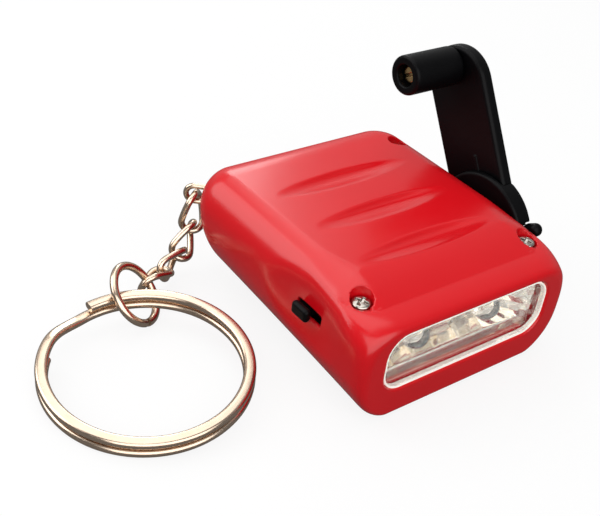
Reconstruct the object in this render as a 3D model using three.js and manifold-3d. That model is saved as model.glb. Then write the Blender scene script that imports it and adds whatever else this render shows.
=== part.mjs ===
import * as THREE from 'three';
import { mergeVertices } from 'three/addons/utils/BufferGeometryUtils.js';
import Module from 'manifold-3d';

// A hand crank flashlight on a split key ring. Millimetres, +Z up.
// The origin is on the surface it lies on, under the middle of the case.
// The lamps look along -Y, the crank is on the +X side, the switch on the -X side.

const wasm = await Module();
wasm.setup();

// General fits
const gap = 0.3;
const overrun = 2;
const mergeTolerance = 1e-4;
const roundSides = 24;
const smallSides = 12;
const discSides = 36;

// Case
const caseHalfWidth = 24.2;
const caseBackY = 27;
const caseHeight = 22.7;
const caseWall = 1.8;
const faceY = -26.5;
const faceWall = 1.2;
const noseY = -31;
const noseRadius = 9.5;
const noseFromTop = 12.3;
const slopeStartY = -17.4;
const frontBottomRadius = 7;
const backBottomRadius = 17;
const sideBottomFrontRadius = 9;
const sideBottomBackRadius = 15.5;
const sideTopRadius = 8;
const sideTopCrease = 0.84;
const backTopRadius = 5.3;
const backCornerRadius = 6.9;
const frontCornerRadius = 7.5;
const leastCornerRadius = 1.5;
const cornerSteps = 5;
const arcSteps = 6;

// Finger flutes in the top
const fluteCount = 3;
const fluteHalfLength = 14.5;
const fluteHalfWidth = 2.6;
const fluteDepth = 0.7;
const flutePitch = 11.6;
const fluteMiddleY = -0.8;
const dimpleRadiusShare = 3;

// Case screws
const screwFromSide = 4.8;
const screwFromBack = 9.2;
const screwFromFace = 8;
const screwHeadRadius = 1.9;
const screwHeadHeight = 1.3;
const screwHeadDepth = 2.35;
const screwRecessGap = 0.55;
const screwShankRadius = 0.9;
const screwLength = 15;
const screwBossRadius = 2.9;
const screwCrossWidth = 0.5;
const screwCrossHalfLength = 1.14;
const screwCrossDepth = 0.6;

// Window, lens and reflector
const windowFromSide = 5.2;
const windowFromTop = 5.4;
const windowLowZ = 5.6;
const windowCornerRadius = 2.4;
const windowCornerSteps = 4;
const lensFlangeThickness = 0.5;
const lensRecess = 0.3;
const reflectorDepth = 6.7;
const reflectorWall = 0.9;
const reflectorEndTaper = 6;
const reflectorPastLamp = 0.2;
const reflectorTopSetback = 3.2;

// Lamps
const lampFromWindowEnd = 10.5;
const lampRadius = 2.5;
const lampFlangeRadius = 2.9;
const lampFlangeThickness = 1;
const lampDomeSteps = 6;
const lampLeadHalfPitch = 1.27;
const lampLeadWidth = 0.5;
const lampLeadLength = 1.2;
const lampBoardEnd = 7.5;
const lampBoardHalfHeight = 5;
const boardThickness = 0.8;

// Slide switch
const switchFromFace = 16.6;
const switchFromTop = 9;
const sliderLength = 4.6;
const sliderHeight = 3.6;
const sliderProud = 1.6;
const sliderLift = 0.65;
const gripCount = 3;
const gripPitch = 1.15;
const gripWidth = 0.3;
const gripDepth = 0.3;
const switchTravel = 2.8;
const stemLength = 3;
const stemHeight = 2;
const canLength = 8;
const canHeight = 4.4;
const canDepth = 3.6;
const canWall = 0.5;
const footThickness = 1.2;
const dishHalfLength = 7.8;
const dishHalfHeight = 6.8;
const dishDepth = 1.2;

// Crank
const hubY = -3.5;
const hubFromTop = 9.2;
const crankAngle = THREE.MathUtils.degToRad(58.2);
const discRadius = 10.6;
const discThickness = 1.2;
const discSeat = 0.8;
const discStemRadius = 3;
const armHalfWidth = 7.35;
const armThickness = 2.8;
const armReach = 31.2;
const armTipSteps = 12;
const cheekThickness = 2.6;
const hingeSetback = 2;
const hingePinRadius = 0.8;
const hingePinHeadRadius = 1.3;
const hingePinHeadSeat = 0.9;
const hingePinHeadProud = 2.8;
const axleRadius = 1;
const crankBossWall = 1.8;
const crankBossLength = 7;
const knobRadius = 3.8;
const knobTubeLength = 12;
const knobStudRadius = 1.5;
const knobScrewHeadRadius = 2;
const knobScrewHeadHeight = 1;
const knobScrewShankRadius = 0.6;
const knobScrewLength = 5;
const knobScrewSlotWidth = 0.5;
const knobScrewInset = 0.8;

// Gear train
const gearHeadroom = 0.4;
const driveTeeth = 28;
const wheelTeeth = 24;
const pinionTeeth = 10;
const addendumShare = 0.85;
const dedendumShare = 1.15;
const toothRootShare = 0.46;
const toothTipShare = 0.22;
const wheelThickness = 2;
const stageGap = 0.8;
const gearFromBoss = 1.2;
const gearHubRadius = 1.9;
const pinRadius = 0.75;
const pinGap = 0.25;
const gearPlateThickness = 1.4;
const gearPlateMargin = 4.3;
const gearPlateFoot = 0.8;
const gearPlateHeadroom = 0.5;

// Generator
const magnetRadius = 4;
const magnetLength = 8.8;
const airGap = 0.5;
const coreWidth = 4;
const coreThickness = 1.8;
const coreLegDepth = 2.8;
const coreLength = 17.7;
const poleHalfWidth = 3.4;
const bobbinWall = 0.6;
const bobbinFlangeRadius = 4.3;
const bobbinFlangeThickness = 0.7;
const windingRadius = 4;
const bracketThickness = 1.2;
const bracketHalfWidth = 3.4;

// Boards and storage
const mainBoardFromWall = 5.8;
const mainBoardFromFace = 11.8;
const mainBoardLength = 17.7;
const mainBoardFoot = 2;
const mainBoardHeadroom = 1.9;
const diodeCount = 4;
const diodeRadius = 0.9;
const diodeLength = 3.4;
const diodePitch = 2.6;
const diodeFromFront = 2.1;
const diodeFromFoot = 4.2;
const diodeLeadWidth = 0.4;
const capacitorRadius = 2.5;
const capacitorLength = 6.2;
const capacitorFromBack = 3.8;
const capacitorFromFoot = 11.2;
const cellCount = 3;
const cellRadius = 5.8;
const cellThickness = 5.3;
const cellRimRadius = 4.6;
const cellRimDepth = 0.3;
const cellFromBack = 10.2;
const cellFromWall = 4;
const cellLift = 4.4;
const cradleWall = 1.2;
const cradleDrop = 1.9;
const contactThickness = 0.4;
const contactHalfWidth = 3;
const contactHalfHeight = 4;

// Ribs that hold the boards and plates
const ribWall = 1.2;
const ribLength = 2.4;
const ribHeight = 3.2;

// Chain, jump ring and split ring
const eyeFromSide = 3.3;
const eyeProud = 1.7;
const eyeFromTop = 9.6;
const eyeWire = 1.1;
const eyeSpacing = 3.3;
const eyeTip = 0.3;
const eyeHeading = THREE.MathUtils.degToRad(138.7);
const eyeSides = 8;
const eyeBendSteps = 8;
const linkWire = 1.3;
const linkLength = 7.6;
const linkWidth = 4.4;
const linkGap = 0.45;
const linkHeadings = [221.9, 211, 207.2, 206.6].map(THREE.MathUtils.degToRad);
const linkDropShares = [0.575, 0.402, 0.085, -0.062];
const linkRolls = [-53.6, -78.5, -104, 35.7].map(THREE.MathUtils.degToRad);
const linkTwists = [70.9, 91.9, 62.7, 58.5].map(THREE.MathUtils.degToRad);
const linkSteepestShare = 0.97;
const jumpWire = 1.5;
const jumpRadius = 5.55;
const jumpHeading = THREE.MathUtils.degToRad(-47.2);
const jumpTilt = THREE.MathUtils.degToRad(49.4);
const jumpPullHeading = THREE.MathUtils.degToRad(26.6);
const jumpOpening = THREE.MathUtils.degToRad(8);
const jumpOpeningPlace = THREE.MathUtils.degToRad(250);
const ringRadius = 17.25;
const ringWireWidth = 2.1;
const ringWireHeight = 1.42;
const ringCoilGap = 0.48;
const ringPastJump = 0.91;
const ringHeading = THREE.MathUtils.degToRad(66.85);
const ringTilt = THREE.MathUtils.degToRad(5.05);
const ringTiltHeading = THREE.MathUtils.degToRad(40.9);
const ringStepPlace = THREE.MathUtils.degToRad(118);
const ringStepHalf = THREE.MathUtils.degToRad(16);
const ringEndGap = THREE.MathUtils.degToRad(6);
const floorGap = 0.02;
const loopSteps = 24;
const wireSides = 6;

// Places in the case, worked out from the sizes above
const wallInsideX = caseHalfWidth - caseWall;
const noseZ = caseHeight - noseFromTop;
const hubZ = caseHeight - hubFromTop;
const splitZ = hubZ;
const screwX = caseHalfWidth - screwFromSide;
const screwBackY = caseBackY - screwFromBack;
const screwFrontY = faceY + screwFromFace;
const windowHalfWidth = caseHalfWidth - windowFromSide;
const windowHighZ = caseHeight - windowFromTop;
const windowMiddleZ = (windowLowZ + windowHighZ) / 2;
const windowHalfHeight = (windowHighZ - windowLowZ) / 2;
const lampX = windowHalfWidth - lampFromWindowEnd;
const lampZ = windowMiddleZ;
const switchY = faceY + switchFromFace;
const switchZ = caseHeight - switchFromTop;
const mainBoardX = mainBoardFromWall - wallInsideX;
const mainBoardFrontY = faceY + mainBoardFromFace;
const mainBoardBackY = mainBoardFrontY + mainBoardLength;
const mainBoardLowZ = caseWall + mainBoardFoot;
const mainBoardHighZ = caseHeight - caseWall - mainBoardHeadroom;
const cellY = caseBackY - cellFromBack;
const cellZ = caseWall + cellLift + cellRadius;
const cellLeftX = cellFromWall - wallInsideX;
const eyeX = eyeFromSide - caseHalfWidth;
const eyeY = caseBackY + eyeProud;
const eyeZ = caseHeight - eyeFromTop;

// Crank stack along X, from the wall outwards
const discInnerX = caseHalfWidth - discSeat + gap;
const discOuterX = discInnerX + discThickness;
const armInnerX = discOuterX + gap;
const armOuterX = armInnerX + armThickness;
const armMiddleX = (armInnerX + armOuterX) / 2;

// Gear planes along X, from the crank's boss inwards, with the drive gear just under the case's top
const crankBossX = wallInsideX - crankBossLength;
const firstEndX = crankBossX - gearFromBoss;
const firstPlaneX = firstEndX - wheelThickness;
const secondEndX = firstPlaneX - stageGap;
const secondPlaneX = secondEndX - wheelThickness;
const thirdEndX = secondPlaneX - stageGap;
const thirdPlaneX = thirdEndX - wheelThickness;
const gearPlateRightX = thirdPlaneX - gap;
const gearPlateX = gearPlateRightX - gearPlateThickness;
const driveTipRadius = caseHeight - caseWall - gearHeadroom - hubZ;
const gearModule = 2 * driveTipRadius / (driveTeeth + 2 * addendumShare);
const stageOneDistance = gearModule * (driveTeeth + pinionTeeth) / 2;
const stageTwoDistance = gearModule * (wheelTeeth + pinionTeeth) / 2;
const idlerOneY = hubY + stageOneDistance;
const idlerTwoY = idlerOneY - stageTwoDistance;
const rotorY = idlerTwoY - stageTwoDistance;
const gearPlateFrontY = rotorY - gearPlateMargin;
const gearPlateBackY = idlerOneY + gearPlateMargin;
const gearPlateLowZ = caseWall + gearPlateFoot;
const gearPlateHighZ = caseHeight - caseWall - gearPlateHeadroom;
const magnetRightX = gearPlateX - gap - gap;
const magnetLeftX = magnetRightX - magnetLength;
const coreX = (magnetRightX + magnetLeftX) / 2;
const coreBackY = rotorY + coreLength;

// Turns a closed geometry into a solid
function solid(geometry) {
  const bare = geometry.clone();
  bare.deleteAttribute('normal');
  bare.deleteAttribute('uv');
  const merged = mergeVertices(bare, mergeTolerance);
  return new wasm.Manifold(new wasm.Mesh({
    numProp: 3,
    vertProperties: new Float32Array(merged.attributes.position.array),
    triVerts: new Uint32Array(merged.index.array),
  }));
}

function geometryOf(body) {
  const mesh = body.getMesh();
  const geometry = new THREE.BufferGeometry();
  geometry.setAttribute('position', new THREE.BufferAttribute(mesh.vertProperties, 3));
  geometry.setIndex(new THREE.BufferAttribute(mesh.triVerts, 1));
  geometry.computeVertexNormals();
  return geometry;
}

function joined(first, ...others) {
  return others.reduce((sum, other) => sum.add(other), first);
}

function cut(first, ...tools) {
  return tools.reduce((rest, tool) => rest.subtract(tool), first);
}

function block(x0, x1, y0, y1, z0, z1) {
  const box = new THREE.BoxGeometry(x1 - x0, y1 - y0, z1 - z0);
  box.translate((x0 + x1) / 2, (y0 + y1) / 2, (z0 + z1) / 2);
  return solid(box);
}

// Round bars: the two places are the axis's other coordinates, in x, y, z order
function rodX(radius, x0, x1, y, z, sides = roundSides) {
  const bar = new THREE.CylinderGeometry(radius, radius, x1 - x0, sides);
  bar.rotateZ(-Math.PI / 2);
  bar.translate((x0 + x1) / 2, y, z);
  return solid(bar);
}

function rodY(radius, y0, y1, x, z, sides = roundSides) {
  const bar = new THREE.CylinderGeometry(radius, radius, y1 - y0, sides);
  bar.translate(x, (y0 + y1) / 2, z);
  return solid(bar);
}

function rodZ(radius, z0, z1, x, y, sides = roundSides) {
  const bar = new THREE.CylinderGeometry(radius, radius, z1 - z0, sides);
  bar.rotateX(Math.PI / 2);
  bar.translate(x, y, (z0 + z1) / 2);
  return solid(bar);
}

// A dish or flute cut: an ellipsoid whose cap of the given depth and half sizes dips below a surface
function dimple(halfA, halfB, depth, radiusShare) {
  const reach = depth * radiusShare;
  const lift = reach - depth;
  const spread = Math.sqrt(1 - (lift / reach) ** 2);
  return { a: halfA / spread, b: halfB / spread, reach, lift };
}

// Places at an even pitch, centred on zero
function evenPlaces(count, pitchLength) {
  return Array.from({ length: count }, (_, i) => (i - (count - 1) / 2) * pitchLength);
}

const parts = new THREE.Group();

function add(name, body, colour, roughness, metalness, more = {}) {
  const geometry = body.isBufferGeometry ? body : geometryOf(body);
  const material = new THREE.MeshStandardMaterial({ color: colour, roughness, metalness, ...more });
  const mesh = new THREE.Mesh(geometry, material);
  mesh.name = name;
  parts.add(mesh);
  return mesh;
}

// Finishes
const redPlastic = ['#d8202c', 0.22, 0];
const blackPlastic = ['#151517', 0.35, 0];
const whiteNylon = ['#e9e6da', 0.5, 0];
const steel = ['#b9b2a6', 0.22, 1];
const brassScrew = ['#b08a4a', 0.3, 1];
const darkSteel = ['#5c5b5e', 0.45, 1];
const copper = ['#b5602f', 0.4, 0.8];
const boardGreen = ['#1f5f3a', 0.5, 0];

// Case shape: the half width, back and front of the outline at height z, drawn in by inset all round
function lowInset(height, radius) {
  const short = Math.min(Math.max(radius - height, 0), radius);
  return radius - Math.sqrt(radius ** 2 - short ** 2);
}

function frontAt(z, inset) {
  const radius = noseRadius - inset;
  const noseTopZ = noseZ + radius;
  if (z <= noseZ) return noseY + inset + lowInset(z - inset, frontBottomRadius - inset);
  if (z <= noseTopZ) return noseY + inset + lowInset(noseTopZ - z, radius);
  const slopeY = noseY + noseRadius;
  const share = (z - noseTopZ) / (caseHeight - inset - noseTopZ);
  return slopeY + (slopeStartY - slopeY) * share;
}

function caseOutline(z, inset) {
  const below = z - inset;
  const above = caseHeight - inset - z;
  const sideTopIn = lowInset(above + sideTopCrease, sideTopRadius - inset);
  const sideFrontIn = Math.max(lowInset(below, sideBottomFrontRadius - inset), sideTopIn);
  const sideBackIn = Math.max(lowInset(below, sideBottomBackRadius - inset), sideTopIn);
  const backIn = Math.max(lowInset(below, backBottomRadius - inset), lowInset(above, backTopRadius - inset));
  const sideFront = caseHalfWidth - inset - sideFrontIn;
  const sideBack = caseHalfWidth - inset - sideBackIn;
  const back = caseBackY - inset - backIn;
  const front = frontAt(z, inset);
  const backRadius = Math.max(backCornerRadius - inset - Math.min(sideBackIn, backIn), leastCornerRadius);
  const frontRadius = Math.max(frontCornerRadius - inset - sideFrontIn, leastCornerRadius);
  const corners = [
    [sideFront - frontRadius, front + frontRadius, frontRadius, -0.5],
    [sideBack - backRadius, back - backRadius, backRadius, 0],
    [backRadius - sideBack, back - backRadius, backRadius, 0.5],
    [frontRadius - sideFront, front + frontRadius, frontRadius, 1],
  ];
  const points = [];
  for (const [x, y, radius, halfTurns] of corners) {
    for (let i = 0; i <= cornerSteps; i++) {
      const angle = Math.PI * (halfTurns + 0.5 * i / cornerSteps);
      points.push([x + radius * Math.cos(angle), y + radius * Math.sin(angle)]);
    }
  }
  return points;
}

// Stacks outlines with equal point counts into a closed solid
function lofted(outlines, heights) {
  const count = outlines[0].length;
  const positions = [];
  const indices = [];
  outlines.forEach((outline, level) => outline.forEach(([x, y]) => positions.push(x, y, heights[level])));
  for (let level = 0; level < outlines.length - 1; level++) {
    for (let i = 0; i < count; i++) {
      const a = level * count + i;
      const b = level * count + (i + 1) % count;
      indices.push(a, b, b + count, a, b + count, a + count);
    }
  }
  for (const [level, facesUp] of [[0, false], [outlines.length - 1, true]]) {
    const middle = positions.length / 3;
    const outline = outlines[level];
    const sum = outline.reduce(([sx, sy], [x, y]) => [sx + x, sy + y], [0, 0]);
    positions.push(sum[0] / count, sum[1] / count, heights[level]);
    for (let i = 0; i < count; i++) {
      const a = level * count + i;
      const b = level * count + (i + 1) % count;
      indices.push(middle, ...(facesUp ? [a, b] : [b, a]));
    }
  }
  const geometry = new THREE.BufferGeometry();
  geometry.setAttribute('position', new THREE.BufferAttribute(new Float32Array(positions), 3));
  geometry.setIndex(indices);
  return solid(geometry);
}

// Heights above an edge at even steps round a quarter arc
function arcHeights(radius) {
  const heights = [];
  for (let i = 0; i <= arcSteps; i++) heights.push(radius * (1 - Math.cos(Math.PI / 2 * i / arcSteps)));
  return heights;
}

function caseSolid(inset) {
  const heights = [noseZ + noseRadius - inset];
  for (const rise of arcHeights(backBottomRadius - inset)) heights.push(inset + rise);
  for (const fall of arcHeights(sideTopRadius - inset)) heights.push(caseHeight - inset - fall);
  heights.sort((a, b) => a - b);
  return lofted(heights.map((z) => caseOutline(z, inset)), heights);
}

const frontCutter = block(-caseHalfWidth - overrun, caseHalfWidth + overrun,
  noseY - overrun, faceY, -overrun, caseHeight + overrun);
const outside = caseSolid(0).subtract(frontCutter);
const innerFrontCutter = block(-caseHalfWidth - overrun, caseHalfWidth + overrun,
  noseY - overrun, faceY + faceWall, -overrun, caseHeight + overrun);
const hollow = caseSolid(caseWall).subtract(innerFrontCutter);

// Rounded rectangle bar along Y, centred on the window
function windowBar(halfWidth, lowZ, highZ, radius, y0, y1) {
  const shape = new THREE.Shape();
  const corners = [[1, 1, 0], [-1, 1, 1], [-1, -1, 2], [1, -1, 3]];
  corners.forEach(([sideX, sideZ, quarter]) => {
    const x = sideX * (halfWidth - radius);
    const z = sideZ > 0 ? highZ - radius : lowZ + radius;
    shape.absarc(x, z, radius, quarter * Math.PI / 2, (quarter + 1) * Math.PI / 2, false);
  });
  const bar = new THREE.ExtrudeGeometry(shape, { depth: y1 - y0, bevelEnabled: false,
    curveSegments: windowCornerSteps });
  bar.rotateX(Math.PI / 2);
  bar.translate(0, y1, 0);
  return solid(bar);
}

const lensFrontY = faceY + lensRecess;
const lensFlangeY = faceY + faceWall + gap;
const lensBackY = lensFlangeY + lensFlangeThickness;
const windowHole = windowBar(windowHalfWidth, windowLowZ, windowHighZ, windowCornerRadius,
  faceY - overrun, faceY + faceWall + overrun);
const flangePocket = windowBar(windowHalfWidth + gap + gap, windowLowZ - gap - gap, windowHighZ + gap + gap,
  windowCornerRadius, faceY + faceWall, lensBackY + gap);

// Flutes and the switch dish
const flute = dimple(fluteHalfLength, fluteHalfWidth, fluteDepth, dimpleRadiusShare);
function fluteCutter(y) {
  const ball = new THREE.SphereGeometry(1, roundSides, smallSides);
  ball.scale(flute.a, flute.b, flute.reach);
  ball.translate(0, y, caseHeight + flute.lift);
  return solid(ball);
}
const dish = dimple(dishHalfLength, dishHalfHeight, dishDepth, dimpleRadiusShare);
function dishCutter() {
  const ball = new THREE.SphereGeometry(1, roundSides, smallSides);
  ball.scale(dish.reach, dish.a, dish.b);
  ball.translate(-caseHalfWidth - dish.lift, switchY, switchZ + stemHeight / 2);
  return solid(ball);
}

const screwPlaces = [[screwX, screwBackY], [screwX, screwFrontY], [-screwX, screwFrontY]];
const screwHeadTopZ = caseHeight - screwHeadDepth;
const screwHeadLowZ = screwHeadTopZ - screwHeadHeight;
const screwSeatZ = screwHeadLowZ - gap;

const wallSlotHalfHeight = stemHeight / 2 + gap;
const wallSlotBackY = switchY + sliderLength / 2;
const wallSlotFrontY = wallSlotBackY - stemLength - switchTravel;

const crankBossRadius = discStemRadius + gap + crankBossWall;

// Ribs with a slot for a sheet that stands across X at the given place
function slottedRib(x0, x1, y) {
  const body = block(x0 - gap - ribWall, x1 + gap + ribWall, y - ribLength / 2, y + ribLength / 2,
    0, caseWall + ribHeight);
  const slot = block(x0 - gap, x1 + gap, y - ribLength, y + ribLength, caseWall, caseHeight);
  return body.subtract(slot);
}

// Staple eye for the chain: two legs, one above the other, out of the back wall and a bend that joins them
const eyeOut = new THREE.Vector3(Math.cos(eyeHeading), Math.sin(eyeHeading), 0);
const eyeSide = new THREE.Vector3(-Math.sin(eyeHeading), Math.cos(eyeHeading), 0);
const eyeBar = new THREE.Vector3(eyeX, eyeY, eyeZ);
const eyeLegLength = (eyeY - (caseBackY - caseWall - gap)) / eyeOut.y;

// A closed tube through a list of frames: each has a centre and two side vectors, each section a list of [u, v]
function tube(frames, section, closed) {
  const positions = [];
  const indices = [];
  const sides = section.length;
  for (const { centre, u, v } of frames) {
    for (const [a, b] of section) {
      positions.push(centre.x + u.x * a + v.x * b, centre.y + u.y * a + v.y * b, centre.z + u.z * a + v.z * b);
    }
  }
  const spans = closed ? frames.length : frames.length - 1;
  for (let i = 0; i < spans; i++) {
    const here = i * sides;
    const next = (i + 1) % frames.length * sides;
    for (let k = 0; k < sides; k++) {
      const k2 = (k + 1) % sides;
      indices.push(here + k, here + k2, next + k2, here + k, next + k2, next + k);
    }
  }
  if (!closed) {
    const last = (frames.length - 1) * sides;
    for (let k = 1; k < sides - 1; k++) {
      indices.push(0, k + 1, k);
      indices.push(last, last + k, last + k + 1);
    }
  }
  const geometry = new THREE.BufferGeometry();
  geometry.setAttribute('position', new THREE.BufferAttribute(new Float32Array(positions), 3));
  geometry.setIndex(indices);
  const body = solid(geometry);
  if (body.volume() > 0) return body;
  geometry.setIndex(indices.reverse());
  return solid(geometry);
}

// Section frames along a path of points, with the tangent from its neighbours
function framesAlong(points, closed, reference) {
  const count = points.length;
  return points.map((centre, i) => {
    const before = points[closed ? (i + count - 1) % count : Math.max(i - 1, 0)];
    const after = points[closed ? (i + 1) % count : Math.min(i + 1, count - 1)];
    const along = after.clone().sub(before).normalize();
    const u = reference(i).clone();
    u.addScaledVector(along, -u.dot(along)).normalize();
    return { centre, u, v: along.clone().cross(u) };
  });
}

function roundSection(diameter, sides = wireSides) {
  const points = [];
  for (let k = 0; k < sides; k++) {
    const angle = 2 * Math.PI * (k + 0.5) / sides;
    points.push([diameter / 2 * Math.cos(angle), diameter / 2 * Math.sin(angle)]);
  }
  return points;
}

function eyeBody(diameter, legLength) {
  const bendRadius = eyeSpacing / 2;
  const bendCentre = eyeBar.clone().addScaledVector(eyeOut, eyeTip).setZ(eyeZ + bendRadius);
  const points = [eyeBar.clone().addScaledVector(eyeOut, -legLength)];
  for (let i = 0; i <= eyeBendSteps; i++) {
    const angle = Math.PI * i / eyeBendSteps;
    points.push(bendCentre.clone().addScaledVector(eyeOut, bendRadius * Math.sin(angle))
      .setZ(bendCentre.z - bendRadius * Math.cos(angle)));
  }
  points.push(points[0].clone().setZ(eyeZ + eyeSpacing));
  return tube(framesAlong(points, false, () => eyeSide), roundSection(diameter, eyeSides), false);
}

// Shells
const walls = outside.subtract(hollow);
const screwBosses = screwPlaces.map(([x, y]) => rodZ(screwBossRadius, 0, caseHeight, x, y, smallSides));
const crankBoss = rodX(crankBossRadius, crankBossX, caseHalfWidth, hubY, hubZ);
const boardRibYs = [mainBoardFrontY + ribLength, mainBoardBackY - ribLength];
const plateRibYs = [gearPlateFrontY + ribLength, gearPlateBackY - ribLength];
const inner = joined(
  ...screwBosses,
  crankBoss,
  ...boardRibYs.map((y) => slottedRib(mainBoardX, mainBoardX + boardThickness, y)),
  ...plateRibYs.map((y) => slottedRib(gearPlateX, gearPlateX + gearPlateThickness, y)),
).intersect(outside);
const shellCuts = [
  windowHole,
  flangePocket,
  dishCutter(),
  ...evenPlaces(fluteCount, flutePitch).map((step) => fluteCutter(fluteMiddleY + step)),
  ...screwPlaces.map(([x, y]) => (
    rodZ(screwHeadRadius + screwRecessGap, screwSeatZ, caseHeight + overrun, x, y))),
  ...screwPlaces.map(([x, y]) => (
    rodZ(screwShankRadius + gap, screwHeadTopZ - screwLength - gap, caseHeight, x, y, smallSides))),
  rodX(discRadius + gap, caseHalfWidth - discSeat, caseHalfWidth + overrun, hubY, hubZ),
  rodX(discStemRadius + gap, crankBossX - overrun, caseHalfWidth + overrun, hubY, hubZ),
  block(-caseHalfWidth - overrun, -wallInsideX + overrun, wallSlotFrontY - gap, wallSlotBackY + gap,
    switchZ - wallSlotHalfHeight, switchZ + wallSlotHalfHeight),
  eyeBody(eyeWire + gap, eyeLegLength + gap),
];
const shells = cut(walls.add(inner), ...shellCuts);
const upperHalf = block(-caseHalfWidth - overrun, caseHalfWidth + overrun, noseY, caseBackY + overrun,
  splitZ, caseHeight + overrun);
add('top_shell', shells.intersect(upperHalf), ...redPlastic);
add('bottom_shell', shells.subtract(upperHalf), ...redPlastic);

// Screws with crossed heads
screwPlaces.forEach(([x, y], index) => {
  const cross = joined(
    block(x - screwCrossHalfLength, x + screwCrossHalfLength, y - screwCrossWidth / 2, y + screwCrossWidth / 2,
      screwHeadTopZ - screwCrossDepth, screwHeadTopZ + overrun),
    block(x - screwCrossWidth / 2, x + screwCrossWidth / 2, y - screwCrossHalfLength, y + screwCrossHalfLength,
      screwHeadTopZ - screwCrossDepth, screwHeadTopZ + overrun),
  );
  const body = joined(
    rodZ(screwHeadRadius, screwHeadLowZ, screwHeadTopZ, x, y),
    rodZ(screwShankRadius, screwHeadTopZ - screwLength, screwHeadTopZ - screwCrossDepth - gap, x, y,
      smallSides),
  );
  add(`case_screw_${index + 1}`, body.subtract(cross), ...steel);
});

// Lens: the front part fills the window, a wider flange sits behind the wall
add('lens', joined(
  windowBar(windowHalfWidth - gap, windowLowZ + gap, windowHighZ - gap, windowCornerRadius,
    lensFrontY, lensBackY),
  windowBar(windowHalfWidth + gap, windowLowZ - gap, windowHighZ + gap, windowCornerRadius,
    lensFlangeY, lensBackY),
), '#eef4f6', 0.05, 0, { transparent: true, opacity: 0.3 });

// Reflector: a tapered tray with a hole for each lamp, its top wall set back from the lens
const reflectorBackHalfWidth = windowHalfWidth - reflectorEndTaper;
const reflectorBackHalfHeight = lampRadius + gap + reflectorWall + reflectorPastLamp;
const reflectorFrontY = lensBackY + gap;
const reflectorBackY = reflectorFrontY + reflectorDepth;
function tray(inset, y0, y1) {
  const rectangle = (halfX, halfZ) => [[-halfX, halfZ], [-halfX, -halfZ], [halfX, -halfZ], [halfX, halfZ]];
  const frontHalfX = windowHalfWidth - gap - inset;
  const frontHalfZ = windowHalfHeight - gap - inset;
  const backHalfX = reflectorBackHalfWidth - inset;
  const backHalfZ = reflectorBackHalfHeight - inset;
  const body = lofted([rectangle(backHalfX, backHalfZ), rectangle(frontHalfX, frontHalfZ)], [-y1, -y0]);
  return body.rotate([90, 0, 0]).translate([0, 0, windowMiddleZ]);
}
const reflectorShell = tray(0, reflectorFrontY, reflectorBackY);
const reflectorHollow = tray(reflectorWall, reflectorFrontY - gap, reflectorBackY - reflectorWall);
const lampHoles = [-lampX, lampX].map((x) => (
  rodY(lampRadius + gap, reflectorBackY - overrun, reflectorBackY + overrun, x, lampZ)));
const reflectorTopCut = block(-windowHalfWidth, windowHalfWidth, reflectorFrontY - overrun,
  reflectorFrontY + reflectorTopSetback, windowMiddleZ + reflectorBackHalfHeight, caseHeight);
add('reflector', cut(reflectorShell, reflectorHollow, reflectorTopCut, ...lampHoles), '#d9dcdf', 0.12, 1);

// Lamps: five millimetre domes with two leads through the lamp board
const flangeFrontY = reflectorBackY + gap;
const flangeBackY = flangeFrontY + lampFlangeThickness;
const lampBoardY = flangeBackY + gap;
const lampLength = flangeBackY - (lensBackY + gap);
for (const [name, x] of [['lamp_left', -lampX], ['lamp_right', lampX]]) {
  const profile = [new THREE.Vector2(0, 0), new THREE.Vector2(lampFlangeRadius, 0),
    new THREE.Vector2(lampFlangeRadius, lampFlangeThickness),
    new THREE.Vector2(lampRadius, lampFlangeThickness)];
  for (let i = 0; i <= lampDomeSteps; i++) {
    const angle = Math.PI / 2 * i / lampDomeSteps;
    const height = lampLength - lampRadius + lampRadius * Math.sin(angle);
    profile.push(new THREE.Vector2(i === lampDomeSteps ? 0 : lampRadius * Math.cos(angle), height));
  }
  const dome = new THREE.LatheGeometry(profile, roundSides);
  dome.rotateX(Math.PI);
  dome.translate(x, flangeBackY, lampZ);
  const leads = [-lampLeadHalfPitch, lampLeadHalfPitch].map((side) => block(x + side - lampLeadWidth / 2,
    x + side + lampLeadWidth / 2, flangeBackY - gap, flangeBackY + lampLeadLength, lampZ - lampLeadWidth / 2,
    lampZ + lampLeadWidth / 2));
  add(name, joined(solid(dome), ...leads), '#f2f5f7', 0.08, 0, { transparent: true, opacity: 0.6 });
}
const lampLeadHoles = [-lampX, lampX].flatMap((x) => [-lampLeadHalfPitch, lampLeadHalfPitch].map((side) => (
  block(x + side - lampLeadWidth / 2 - gap, x + side + lampLeadWidth / 2 + gap, lampBoardY - overrun,
    lampBoardY + overrun, lampZ - lampLeadWidth / 2 - gap, lampZ + lampLeadWidth / 2 + gap))));
add('lamp_board', cut(block(-lampX - lampBoardEnd, lampX + lampBoardEnd, lampBoardY, lampBoardY + boardThickness,
  lampZ - lampBoardHalfHeight, lampZ + lampBoardHalfHeight), ...lampLeadHoles), ...boardGreen);

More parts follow.
